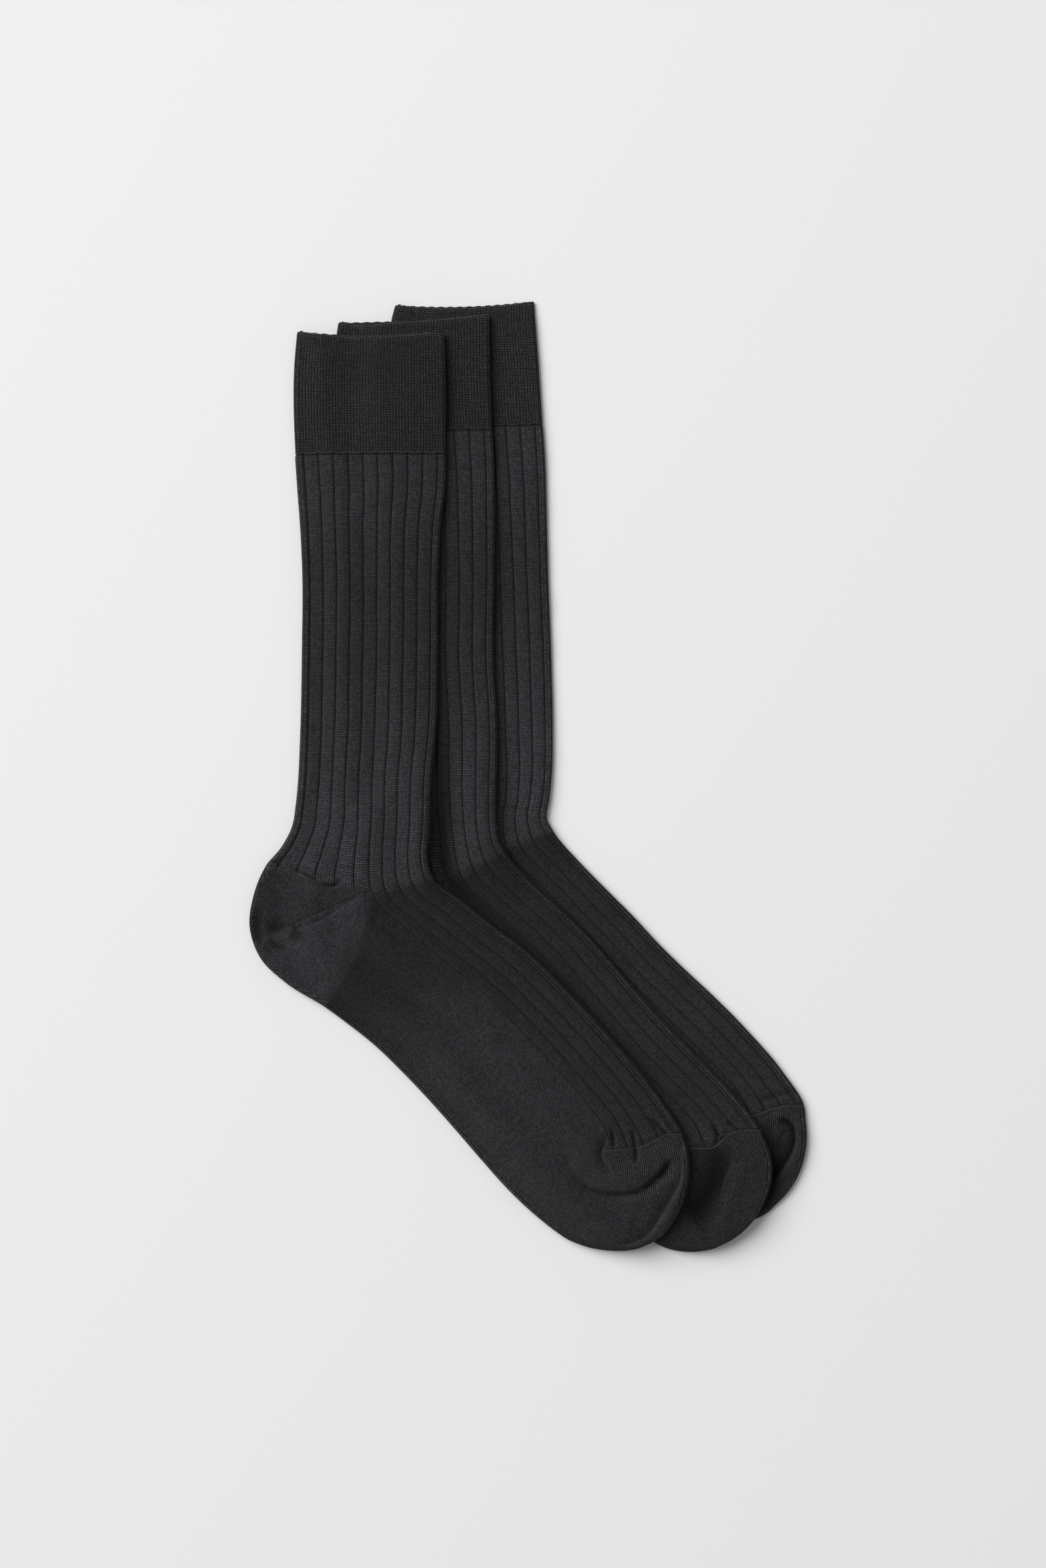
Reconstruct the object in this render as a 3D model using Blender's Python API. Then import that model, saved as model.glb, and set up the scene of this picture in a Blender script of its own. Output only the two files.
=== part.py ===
"""Three fine-knit dress socks, fanned one on another and lying flat on a surface.

Each sock is a knitted tube laid on its side, with its two panels on each other: a welt in 1x1 rib,
a leg in wide rib, a heel pocket, a foot with a ribbed instep and a plain sole, and a toe cap.
The back sock lies on the surface, the middle sock lies on it, and the front sock lies on both and
drapes down past their edges.

Frame: +X runs across the fan to the toes' side, +Y up the legs to the welts, +Z up, and the origin
is on the surface below the middle of the fan.  Sizes in the tables are millimetres.
"""

from collections import namedtuple

import bmesh
import bpy
import numpy as np

# ---- driving dimensions, in millimetres ----
MM = 0.001                 # metres in a millimetre
WALL = 1.1                 # the cloth's own thickness
SEAM_GAP = 0.3             # clear space between pieces that are knitted together
STACK_GAP = 0.6            # clear space between a sock and the one that lies on it
DRAPE_START = 4.5          # a sock keeps its height this far past the edge of the one below
DRAPE_RUN = 19.0           # and comes down to the surface over this run

RIB_GROOVES = 10           # grooves of the wide rib across one panel
FIRST_GROOVE = -0.892      # its place across the panel, from -1 at the back to 1 at the front
GROOVE_PITCH = 0.2         # on the same scale
GROOVE_HALF = 0.034        # half the width of a groove, on the same scale
RIB_RISE = 0.5             # height of a rib above its groove
FIRST_INSTEP_GROOVE = 5    # the foot keeps the grooves from this one on

TIP_SHARE = 0.55           # the toe's closing section, as a share of the last one's length
TIP_REACH = 1.6            # how far past it the closing section lies
TIP_PINCH = 0.45           # and its height, as a share of the sock's

WELT_RIBS = 42             # ribs of the 1x1 welt across one panel
WELT_RISE = 0.45           # height of a welt rib above its groove

# Height of a sock, from its underside to the foot of its ribs, at places along Y.
Height = namedtuple("Height", "y height")
HEIGHTS = [
    Height(-240.0, 4.6),
    Height(-195.0, 5.2),
    Height(-160.0, 4.3),
    Height(-120.0, 4.0),
    Height(-75.0, 4.6),
    Height(-20.0, 3.9),
    Height(150.0, 3.8),
    Height(160.0, 4.0),
    Height(240.0, 4.0),
]

# A section runs from the back of the sock (the sole, on the foot) to its front (the instep).
# side_share is how far along it the gore's line lies, from the back.
Row = namedtuple("Row", "back_x back_y front_x front_y side_share")

# A crease is a soft trough along a path of (x, y) points, or a soft ridge if its depth is negative.
Crease = namedtuple("Crease", "width depth path")

# Sections in order from the welt's top edge to the tip of the toe.  The first section of the leg,
# the foot and the toe is the last one of the piece before it, moved on by the seam's gap.
# bulk is the sock's height as a share of the table's: the lowest sock lies pressed flattest.
Sock = namedtuple("Sock", "name bulk cuff leg gore heel foot toe creases")

FRONT_SOCK = Sock(
    name="front",
    bulk=1.08,
    cuff=[
        Row(-113.4, 217.9, -41.3, 217.5, 0.50),
        Row(-114.8, 197.5, -40.7, 197.5, 0.50),
        Row(-114.1, 158.2, -40.7, 157.9, 0.50),
    ],
    leg=[
        Row(-112.8, 138.5, -41.3, 138.5, 0.50),
        Row(-111.8, 125.4, -43.0, 125.4, 0.50),
        Row(-110.5, 99.2, -44.3, 99.2, 0.50),
        Row(-110.7, 59.8, -44.6, 59.8, 0.50),
        Row(-111.5, 20.5, -45.6, 20.5, 0.50),
        Row(-112.8, -5.7, -48.0, -5.7, 0.51),
        Row(-113.8, -15.2, -48.2, -15.4, 0.52),
        Row(-115.4, -24.8, -48.5, -25.4, 0.53),
        Row(-120.3, -34.6, -49.5, -37.9, 0.56),
        Row(-129.2, -45.7, -47.2, -49.3, 0.60),
    ],
    gore=(-80.0, -57.2),
    heel=[(-134.8, -59.8), (-136.6, -73.9), (-131.5, -89.3), (-118.7, -101.8), (-99.7, -113.6)],
    foot=[
        Row(-88.5, -121.8, -32.1, -62.5, 0.63),
        Row(-76.1, -131.6, -16.4, -74.9, 0.62),
        Row(-63.0, -144.1, -3.0, -84.8, 0.62),
        Row(-49.8, -157.9, 9.8, -96.6, 0.62),
        Row(-36.7, -172.6, 21.3, -108.4, 0.62),
        Row(-23.0, -188.4, 34.8, -122.8, 0.62),
        Row(-9.8, -203.1, 48.5, -138.5, 0.62),
        Row(4.6, -216.6, 63.6, -157.5, 0.61),
        Row(15.1, -224.8, 75.1, -176.2, 0.60),
    ],
    toe=[
        Row(19.0, -227.4, 77.0, -181.5, 0.59),
        Row(24.3, -229.7, 78.2, -188.7, 0.58),
        Row(30.2, -231.6, 78.0, -195.9, 0.56),
        Row(36.4, -232.6, 76.7, -203.1, 0.54),
        Row(42.6, -233.0, 74.8, -209.7, 0.52),
        Row(48.5, -232.6, 72.1, -215.2, 0.50),
        Row(53.4, -231.6, 69.2, -220.2, 0.50),
        Row(57.7, -230.0, 66.6, -223.8, 0.50),
    ],
    creases=[
        Crease(2.2, 1.4, [(19.3, -183.4), (22.3, -192.6), (27.5, -201.8), (37.4, -203.4),
                          (46.9, -203.8), (54.8, -202.5), (64.9, -194.6), (72.1, -186.4)]),
        Crease(1.8, 1.0, [(73.8, -176.2), (74.1, -189.3), (72.1, -200.5), (63.9, -215.2),
                          (54.8, -226.4), (38.7, -229.7)]),
        Crease(4.0, 1.2, [(-122.6, -71.0), (-123.3, -77.9), (-120.7, -85.8)]),
        Crease(1.2, 0.5, [(-82.0, -60.0), (-101.3, -69.7), (-118.7, -76.6)]),
        Crease(9.0, -3.8, [(-51.5, 24.0), (-52.0, -12.3), (-52.5, -35.2), (-50.5, -48.3),
                           (-42.3, -59.2), (-26.0, -74.0)]),
    ],
)

MIDDLE_SOCK = Sock(
    name="middle",
    bulk=1.0,
    cuff=[
        Row(-93.4, 221.5, -19.3, 226.4, 0.50),
        Row(-93.4, 197.5, -19.0, 197.5, 0.50),
        Row(-92.1, 168.7, -18.0, 170.3, 0.50),
    ],
    leg=[
        Row(-89.8, 151.6, -17.2, 151.6, 0.50),
        Row(-86.6, 128.7, -17.0, 128.7, 0.50),
        Row(-83.9, 99.2, -17.0, 99.2, 0.50),
        Row(-83.6, 59.8, -17.5, 59.8, 0.50),
        Row(-82.3, 20.5, -15.7, 20.5, 0.50),
        Row(-82.0, -5.7, -16.1, -5.7, 0.51),
        Row(-82.6, -12.3, -16.2, -12.3, 0.52),
        Row(-84.3, -19.5, -16.3, -19.5, 0.54),
        Row(-87.5, -28.7, -15.4, -29.3, 0.57),
        Row(-91.8, -40.8, -12.8, -35.9, 0.60),
    ],
    gore=(-42.6, -52.3),
    heel=[(-97.4, -54.9), (-99.0, -69.0), (-94.1, -84.4), (-81.3, -96.9), (-62.3, -108.7)],
    foot=[
        Row(-52.5, -115.2, 1.0, -53.0, 0.63),
        Row(-43.6, -123.4, 16.1, -66.7, 0.62),
        Row(-30.8, -138.5, 29.2, -79.2, 0.62),
        Row(-18.4, -154.3, 41.3, -93.0, 0.62),
        Row(-5.2, -170.7, 52.8, -106.4, 0.62),
        Row(8.9, -187.4, 66.6, -121.8, 0.62),
        Row(23.9, -202.5, 82.3, -137.9, 0.62),
        Row(41.0, -215.6, 100.0, -156.6, 0.61),
        Row(53.4, -222.5, 113.4, -173.9, 0.60),
    ],
    toe=[
        Row(57.7, -226.1, 116.1, -179.8, 0.59),
        Row(63.0, -229.7, 118.4, -186.4, 0.58),
        Row(69.2, -232.3, 119.2, -193.3, 0.56),
        Row(75.1, -233.4, 118.4, -200.2, 0.54),
        Row(80.7, -233.6, 116.4, -206.7, 0.52),
        Row(85.9, -233.0, 113.8, -212.3, 0.50),
        Row(90.5, -232.0, 110.8, -217.2, 0.50),
        Row(95.1, -230.0, 107.2, -221.5, 0.50),
    ],
    creases=[
        Crease(5.0, 1.6, [(80.0, -178.0), (85.2, -192.0), (85.2, -206.0), (78.3, -221.9)]),
        Crease(4.0, 1.2, [(-85.0, -66.0), (-85.7, -72.9), (-83.1, -80.8)]),
        Crease(9.0, -2.8, [(-21.5, 30.0), (-22.0, -3.0), (-22.0, -22.0), (-19.5, -36.0),
                           (-9.5, -48.0), (2.0, -60.0)]),
    ],
)

BACK_SOCK = Sock(
    name="back",
    bulk=0.78,
    cuff=[
        Row(-65.6, 231.0, 2.6, 233.0, 0.50),
        Row(-66.2, 204.1, 4.6, 204.1, 0.50),
        Row(-65.6, 171.3, 6.6, 173.0, 0.50),
    ],
    leg=[
        Row(-63.0, 151.6, 7.9, 151.6, 0.50),
        Row(-60.0, 128.7, 8.5, 128.7, 0.50),
        Row(-57.4, 99.2, 9.2, 99.2, 0.50),
        Row(-55.7, 59.8, 10.7, 59.8, 0.50),
        Row(-54.8, 23.8, 11.5, 20.5, 0.51),
        Row(-54.4, 0.8, 11.1, 0.8, 0.53),
        Row(-57.0, -9.7, 9.8, -12.3, 0.55),
        Row(-63.0, -16.9, 8.5, -19.5, 0.58),
        Row(-70.5, -25.4, 11.1, -26.4, 0.60),
    ],
    gore=(-21.3, -36.9),
    heel=[(-76.1, -39.5), (-77.7, -53.6), (-72.8, -69.0), (-60.0, -81.5), (-41.0, -93.3)],
    foot=[
        Row(-32.1, -101.8, 24.3, -42.5, 0.63),
        Row(-20.7, -114.3, 39.0, -57.5, 0.62),
        Row(-8.5, -129.3, 51.5, -70.0, 0.62),
        Row(4.3, -144.8, 63.9, -83.4, 0.62),
        Row(18.4, -159.8, 76.4, -95.6, 0.62),
        Row(33.8, -175.2, 91.5, -109.7, 0.62),
        Row(48.9, -190.3, 107.2, -125.7, 0.62),
        Row(64.9, -204.1, 123.9, -145.1, 0.61),
        Row(75.1, -211.6, 135.1, -163.1, 0.60),
    ],
    toe=[
        Row(79.7, -215.2, 135.9, -169.7, 0.59),
        Row(84.6, -218.2, 136.4, -176.2, 0.58),
        Row(89.8, -220.2, 136.1, -182.8, 0.56),
        Row(95.1, -221.1, 134.8, -189.3, 0.54),
        Row(99.7, -221.5, 132.5, -195.9, 0.52),
        Row(103.6, -221.1, 129.5, -201.5, 0.50),
        Row(107.5, -219.8, 125.6, -206.7, 0.50),
        Row(111.5, -217.9, 120.7, -211.6, 0.50),
    ],
    creases=[
        Crease(2.6, 1.2, [(121.0, -171.5), (128.2, -169.0), (131.3, -176.0), (130.5, -186.1),
                          (122.3, -200.8)]),
        Crease(4.0, 1.2, [(-63.7, -50.7), (-64.4, -57.6), (-61.8, -65.5)]),
    ],
)

STACK = [BACK_SOCK, MIDDLE_SOCK, FRONT_SOCK]       # from the surface up

# Colours of the yarn in each piece, as linear red, green and blue.
Finish = namedtuple("Finish", "colour roughness")
FINISHES = {
    "cuff": Finish((0.0212, 0.0212, 0.0232), 0.92),
    "leg": Finish((0.0242, 0.0246, 0.0264), 0.92),
    "heel": Finish((0.0319, 0.0322, 0.0343), 0.90),
    "foot": Finish((0.0227, 0.0232, 0.0252), 0.92),
    "toe": Finish((0.0222, 0.0227, 0.0242), 0.90),
}

# ---- columns: the points round a section ----
# place is -1 at the back edge, 0 at the gore's line and 1 at the front edge; inset is how far the
# edge is drawn in, in millimetres; level is 0 on the underside and 1 on the top; rise is added
# height; turn orders the columns round the tube, so that an inner and an outer ring can be stitched.
Column = namedtuple("Column", "place inset level rise turn")

EDGE_LEVELS = (0.84, 0.5, 0.16)                    # levels of an edge's points, top to bottom
EDGE_INSETS = (0.5, 0.0, 0.5)                      # and how far in each one lies, in millimetres
LEAST_HALF = 12.0                                  # half-widths under this have smaller insets
PANEL_REACH = 0.955                                # the panels' last columns, short of the edges
BOTTOM_COLUMNS = 12
PLAIN_COLUMNS = 15
SOLE_COLUMNS = 8
SOLE_REACH = 0.03                                  # the plain sole ends just past the gore's line
INNER_COLUMNS = 9
HEEL_COLUMNS = 8
HEEL_INNER_COLUMNS = 6
HEEL_REACH = 0.05                                  # the heel pocket starts this far from the gore
FULL_TURN = 4.0


def top_columns(places, rises, inset=0.0):
    """Columns over the top panel, from the back to the front."""
    return [Column(place, inset, 1.0, rise, place) for place, rise in zip(places, rises)]


def bottom_columns(places, inset=0.0):
    """Columns over the bottom panel, from the front to the back."""
    return [Column(place, inset, 0.0, 0.0, 2.0 - place) for place in places]


def front_edge():
    """Columns round the front edge, from the top panel to the bottom one."""
    return [Column(1.0, inset, level, 0.0, 1.0 + 0.04 * (1.0 - 2.0 * level))
            for level, inset in zip(EDGE_LEVELS, EDGE_INSETS)]


def back_edge():
    """Columns round the back edge, from the bottom panel to the top one."""
    return [Column(-1.0, inset, 1.0 - level, 0.0, 3.0 + 0.04 * (1.0 - 2.0 * level))
            for level, inset in zip(EDGE_LEVELS, EDGE_INSETS)]


def ring_columns(top):
    """A whole outer ring: the top panel, the front edge, the bottom panel and the back edge."""
    bottom = bottom_columns(np.linspace(PANEL_REACH, -PANEL_REACH, BOTTOM_COLUMNS))
    return top + front_edge() + bottom + back_edge()


def inner_ring_columns():
    """A whole inner ring, plain all round, a wall's thickness inside the outer one."""
    places = np.linspace(-PANEL_REACH, PANEL_REACH, INNER_COLUMNS)
    top = top_columns(places, np.zeros(INNER_COLUMNS), WALL)
    bottom = bottom_columns(places[::-1], WALL)
    return top + [Column(1.0, WALL, 0.5, 0.0, 1.0)] + bottom + [Column(-1.0, WALL, 0.5, 0.0, 3.0)]


def ribbed_top(places, rise, first_groove):
    """Columns at the given places, then the wide rib: a low column between two high ones."""
    places = list(places)
    rises = [rise] * len(places)
    for groove in range(first_groove, RIB_GROOVES):
        middle = FIRST_GROOVE + GROOVE_PITCH * groove
        places += [middle - GROOVE_HALF, middle, middle + GROOVE_HALF]
        rises += [RIB_RISE, 0.0, RIB_RISE]
    places.append(PANEL_REACH)
    rises.append(RIB_RISE)
    return top_columns(places, rises)


def welt_columns():
    """The welt's top panel, a zigzag of narrow ribs."""
    places = np.linspace(-PANEL_REACH, PANEL_REACH, 2 * WELT_RIBS + 1)
    rises = WELT_RISE * (np.arange(len(places)) % 2)
    return ring_columns(top_columns(places, rises))


def leg_columns():
    """The leg's top panel, ribbed from the back edge to the front one."""
    return ring_columns(ribbed_top([-PANEL_REACH], RIB_RISE, 0))


def foot_columns():
    """The foot's top panel: a plain sole, then the instep in the leg's rib."""
    sole = np.linspace(-PANEL_REACH, SOLE_REACH, SOLE_COLUMNS)
    return ring_columns(ribbed_top(sole, 0.0, FIRST_INSTEP_GROOVE))


def plain_columns():
    """A plain top panel."""
    places = np.linspace(-PANEL_REACH, PANEL_REACH, PLAIN_COLUMNS)
    return ring_columns(top_columns(places, np.zeros(PLAIN_COLUMNS)))


def heel_ring(count, edge, inset):
    """An open ring round the back: from the gore on the bottom panel to the gore on the top one."""
    places = np.linspace(-HEEL_REACH, -PANEL_REACH, count)
    top = [column._replace(turn=column.turn + FULL_TURN)
           for column in top_columns(places[::-1], np.zeros(count), inset)]
    return bottom_columns(places, inset) + edge + top


def heel_columns():
    """The outer side of the heel pocket."""
    return heel_ring(HEEL_COLUMNS, back_edge(), 0.0)


def inner_heel_columns():
    """The inner side of the heel pocket."""
    return heel_ring(HEEL_INNER_COLUMNS, [Column(-1.0, WALL, 0.5, 0.0, 3.0)], WALL)


# ---- sections ----
# back, side and front are plan points; pinch draws a section's height in towards its middle.
Section = namedtuple("Section", "back side front pinch")


def straight_section(row):
    """A section from a table's row, with its gore point on the straight line."""
    back = np.array([row.back_x, row.back_y])
    front = np.array([row.front_x, row.front_y])
    return Section(back, back + row.side_share * (front - back), front, 1.0)


def square_step(start, end, distance):
    """A step square to a line from the back to the front, towards the toe."""
    along = (end - start) / np.linalg.norm(end - start)
    return distance * np.array([along[1], -along[0]])


def moved(section, distance):
    """A section moved along the sock, towards the toe, square to its two halves."""
    back_step = square_step(section.back, section.side, distance)
    front_step = square_step(section.side, section.front, distance)
    return section._replace(back=section.back + back_step, front=section.front + front_step,
                            side=section.side + 0.5 * (back_step + front_step))


def heel_section(point, gore, distance=0.0):
    """A spoke of the heel's fan, from its outline to the gore, moved off the piece next to it."""
    step = square_step(point, gore, distance)
    return Section(point + step, gore + step, gore + step, 1.0)


def closing_section(section):
    """The last section of the toe: shorter, further on and pinched, so that the tip is round."""
    middle = 0.5 * (section.back + section.front)
    short = section._replace(back=middle + TIP_SHARE * (section.back - middle), side=middle,
                             front=middle + TIP_SHARE * (section.front - middle))
    return moved(short, TIP_REACH)._replace(pinch=TIP_PINCH)


def pieces_of(sock):
    """The sections of each piece of a sock, with the seams' gaps between them."""
    cuff = [straight_section(row) for row in sock.cuff]
    leg = [moved(cuff[-1], SEAM_GAP)] + [straight_section(row) for row in sock.leg]
    gore = np.array(sock.gore)
    ankle = leg[-1] = leg[-1]._replace(side=gore)
    outline = [ankle.back] + [np.array(point) for point in sock.heel]
    heel = [heel_section(outline[0], gore, SEAM_GAP)]
    heel += [heel_section(point, gore) for point in outline[1:-1]]
    heel += [heel_section(outline[-1], gore, -SEAM_GAP)]
    bend = moved(ankle, SEAM_GAP)
    foot = [Section(outline[-1], bend.side, bend.front, 1.0)]
    foot += [straight_section(row) for row in sock.foot]
    toe = [moved(foot[-1], SEAM_GAP)] + [straight_section(row) for row in sock.toe]
    toe.append(closing_section(toe[-1]))
    return {"cuff": cuff, "leg": leg, "heel": heel, "foot": foot, "toe": toe}


def outline_of(pieces):
    """The sock's outline in plan, down the back and the sole, round the tip and up the front."""
    down = pieces["cuff"] + pieces["leg"] + pieces["heel"] + pieces["foot"] + pieces["toe"]
    up = pieces["cuff"] + pieces["leg"] + pieces["foot"] + pieces["toe"]
    return np.array([section.back for section in down] + [section.front for section in up[::-1]])


# ---- heights ----

def smooth(share):
    """A share from 0 to 1, eased at both ends."""
    share = np.clip(share, 0.0, 1.0)
    return share * share * (3.0 - 2.0 * share)


def thickness(points, bulk):
    """Height of a sock at plan points, eased between the table's places."""
    places = np.array([row.y for row in HEIGHTS])
    heights = np.array([row.height for row in HEIGHTS])
    index = np.clip(np.searchsorted(places, points[:, 1]) - 1, 0, len(places) - 2)
    share = (points[:, 1] - places[index]) / (places[index + 1] - places[index])
    return bulk * (heights[index] + smooth(share) * (heights[index + 1] - heights[index]))


def nearest_on_path(points, path):
    """Distance from a path, and how far along it the nearest point lies, from 0 to 1."""
    start, end = path[:-1], path[1:]
    edge = end - start
    length = np.linalg.norm(edge, axis=1)
    offset = points[:, None, :] - start[None]
    share = np.clip((offset * edge).sum(-1) / (length ** 2), 0.0, 1.0)
    distance = np.linalg.norm(offset - share[..., None] * edge, axis=-1)
    nearest = distance.argmin(axis=1)
    row = np.arange(len(points))
    before = np.concatenate([[0.0], np.cumsum(length)])
    along = before[nearest] + share[row, nearest] * length[nearest]
    return distance[row, nearest], along / before[-1]


def outside_distance(points, outline):
    """Distance from a closed outline, positive outside it and negative inside."""
    closed = np.vstack([outline, outline[:1]])
    distance = nearest_on_path(points, closed)[0]
    start, end = closed[:-1], closed[1:]
    x, y = points[:, :1], points[:, 1:]
    spans = (start[:, 1] > y) != (end[:, 1] > y)
    rise = np.where(end[:, 1] == start[:, 1], 1.0, end[:, 1] - start[:, 1])
    crossing = start[:, 0] + (y - start[:, 1]) * (end[:, 0] - start[:, 0]) / rise
    inside = (spans & (x < crossing)).sum(axis=1) % 2 == 1
    return np.where(inside, -distance, distance)


def support(points, socks_below):
    """Height of what a sock lies on: the surface, and the socks below it with their outlines."""
    total = np.zeros(len(points))
    for sock, outline in socks_below:
        step = thickness(points, sock.bulk) + RIB_RISE + STACK_GAP
        past = (outside_distance(points, outline) - DRAPE_START) / DRAPE_RUN
        total += step * (1.0 - smooth(past))
    return total


def trough(points, creases):
    """Depth of the creases at plan points, fading out at each crease's ends."""
    total = np.zeros(len(points))
    for crease in creases:
        distance, along = nearest_on_path(points, np.array(crease.path))
        fade = smooth(np.minimum(along, 1.0 - along) / 0.15)
        total += crease.depth * fade * np.exp(-(distance / crease.width) ** 2)
    return total


# ---- meshes ----

def surface(sections, columns, sock, socks_below, inner):
    """Points of one side of the wall, a row for each section and a column for each Column."""
    rows = []
    place = np.array([column.place for column in columns])
    inset = np.array([column.inset for column in columns])
    level = np.array([column.level for column in columns])
    rise = np.array([column.rise for column in columns])
    for section in sections:
        end = np.where(place[:, None] < 0.0, section.back, section.front)
        reach = end - section.side
        half = np.maximum(np.linalg.norm(reach, axis=1), 1e-6)
        drawn_in = inset * np.minimum(half / LEAST_HALF, 1.0)
        share = np.abs(place) * (1.0 - drawn_in / half)
        plan = section.side + share[:, None] * reach
        depth = trough(plan, sock.creases)
        height = thickness(plan, sock.bulk)
        if inner:
            z = WALL + level * (height - 2.0 * WALL - depth)
        else:
            z = 0.5 * height + (level - 0.5) * height * section.pinch + rise - level * depth
        rows.append(np.column_stack([plan, z + support(plan, socks_below)]))
    return np.array(rows)


def stitch(build, outer, outer_turns, inner, inner_turns, closed):
    """Fill between an outer and an inner line of vertices, by the order of their turns."""
    outer = list(zip(outer_turns, outer))
    inner = list(zip(inner_turns, inner))
    if closed:
        outer.append((outer[0][0] + FULL_TURN, outer[0][1]))
        inner.append((inner[0][0] + FULL_TURN, inner[0][1]))
    i = j = 0
    while i < len(outer) - 1 or j < len(inner) - 1:
        step_outer = j == len(inner) - 1
        if i < len(outer) - 1 and not step_outer:
            step_outer = outer[i + 1][0] + outer[i][0] <= inner[j + 1][0] + inner[j][0]
        if step_outer:
            build.faces.new((outer[i][1], outer[i + 1][1], inner[j][1]))
            i += 1
        else:
            build.faces.new((outer[i][1], inner[j + 1][1], inner[j][1]))
            j += 1


def skin(build, grid, closed):
    """Quads over a grid of points; returns its vertices, row by row."""
    vertices = [[build.verts.new(point * MM) for point in row] for row in grid]
    count = len(vertices[0])
    for upper, lower in zip(vertices, vertices[1:]):
        for column in range(count if closed else count - 1):
            after = (column + 1) % count
            build.faces.new((upper[column], upper[after], lower[after], lower[column]))
    return vertices


def cap(build, ring):
    """Close a ring with a fan about its middle."""
    middle = build.verts.new(sum((vertex.co for vertex in ring), ring[0].co * 0.0) / len(ring))
    for vertex, after in zip(ring, ring[1:] + ring[:1]):
        build.faces.new((vertex, after, middle))


def wall(outer, outer_turns, inner, inner_turns, closed, capped):
    """One closed wall of cloth from its outer and its inner points."""
    build = bmesh.new()
    outside = skin(build, outer, closed)
    inside = skin(build, inner, closed)
    stitch(build, outside[0], outer_turns, inside[0], inner_turns, closed)
    if capped:
        cap(build, outside[-1])
        cap(build, inside[-1])
    else:
        stitch(build, outside[-1], outer_turns, inside[-1], inner_turns, closed)
    if not closed:
        for column in (0, -1):
            outer_line = [row[column] for row in outside]
            inner_line = [row[column] for row in inside]
            turns = list(range(len(outer_line)))
            stitch(build, outer_line, turns, inner_line, turns, False)
    bmesh.ops.triangulate(build, faces=build.faces[:])
    bmesh.ops.recalc_face_normals(build, faces=build.faces[:])
    return build


def yarn(name):
    """The material of one piece, from the table of finishes."""
    finish = FINISHES[name.split("_")[1]]
    material = bpy.data.materials.new(name + "_yarn")
    material.use_nodes = True
    shader = material.node_tree.nodes["Principled BSDF"]
    shader.inputs["Base Color"].default_value = (*finish.colour, 1.0)
    shader.inputs["Roughness"].default_value = finish.roughness
    shader.inputs["Metallic"].default_value = 0.0
    material.diffuse_color = (*finish.colour, 1.0)
    return material


def add_piece(collection, name, build, centre):
    """Put a finished piece in the collection, about the fan's own origin."""
    for vertex in build.verts:
        vertex.co.x -= centre[0] * MM
        vertex.co.y -= centre[1] * MM
    mesh = bpy.data.meshes.new(name)
    build.to_mesh(mesh)
    build.free()
    mesh.shade_smooth()
    mesh.set_sharp_from_angle(angle=np.radians(50.0))
    piece = bpy.data.objects.new(name, mesh)
    piece.data.materials.append(yarn(name))
    collection.objects.link(piece)
    return piece


COLUMNS = {
    "cuff": welt_columns,
    "leg": leg_columns,
    "heel": heel_columns,
    "foot": foot_columns,
    "toe": plain_columns,
}


def build_sock(collection, sock, pieces, socks_below, centre):
    """All the pieces of one sock."""
    for kind, sections in pieces.items():
        closed = kind != "heel"
        capped = kind == "toe"
        columns = COLUMNS[kind]()
        lining = inner_ring_columns() if closed else inner_heel_columns()
        inner_sections = sections[:-2] if capped else sections
        outer = surface(sections, columns, sock, socks_below, inner=False)
        inner = surface(inner_sections, lining, sock, socks_below, inner=True)
        build = wall(outer, [column.turn for column in columns],
                     inner, [column.turn for column in lining], closed, capped)
        add_piece(collection, f"{sock.name}_{kind}", build, centre)


def main():
    """Clear the scene and build the fan of socks from the surface up."""
    for item in list(bpy.data.objects):
        bpy.data.objects.remove(item, do_unlink=True)
    collection = bpy.data.collections.new("dress_socks")
    bpy.context.scene.collection.children.link(collection)
    pieces = [pieces_of(sock) for sock in STACK]
    outlines = [outline_of(parts) for parts in pieces]
    corners = np.vstack(outlines)
    centre = 0.5 * (corners.min(axis=0) + corners.max(axis=0))
    below = list(zip(STACK, outlines))
    for order, (sock, parts) in enumerate(zip(STACK, pieces)):
        build_sock(collection, sock, parts, below[:order], centre)


main()
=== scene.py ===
"""Fine-knit charcoal dress socks, laid flat and fanned one on another: the looks of every piece.

Each sock is a knitted tube laid on its side.  Its skin is worked out on a grid: one parameter runs
along the sock, from the welt to the toe, and the other round it, over the top panel, round the
instep's edge, under the bottom panel and back up round the heel's edge.  Plan points are in
millimetres, and a mesh is in metres about the middle of the fan.
"""

import logging
import math
from dataclasses import dataclass
from enum import Enum
from typing import Callable, NamedTuple

import bpy
import numpy as np
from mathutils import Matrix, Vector


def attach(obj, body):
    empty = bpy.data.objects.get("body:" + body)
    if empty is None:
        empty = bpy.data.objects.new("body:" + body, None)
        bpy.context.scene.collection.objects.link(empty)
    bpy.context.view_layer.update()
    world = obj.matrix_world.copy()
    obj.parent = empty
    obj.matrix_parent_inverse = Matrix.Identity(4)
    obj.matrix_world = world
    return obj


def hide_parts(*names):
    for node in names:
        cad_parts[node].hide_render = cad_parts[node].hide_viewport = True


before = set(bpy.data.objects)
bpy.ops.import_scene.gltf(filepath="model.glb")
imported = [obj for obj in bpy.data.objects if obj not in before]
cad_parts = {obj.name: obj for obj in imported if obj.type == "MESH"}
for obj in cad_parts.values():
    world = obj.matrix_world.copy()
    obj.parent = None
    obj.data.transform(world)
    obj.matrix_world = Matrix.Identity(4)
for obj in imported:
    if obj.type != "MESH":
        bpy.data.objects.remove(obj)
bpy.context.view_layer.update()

LOG = logging.getLogger("socks")
MM = 0.001  # metres in a millimetre
BODY = "root"
UV_NAME = "knit"  # the UV map counts wales across and courses along
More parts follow.
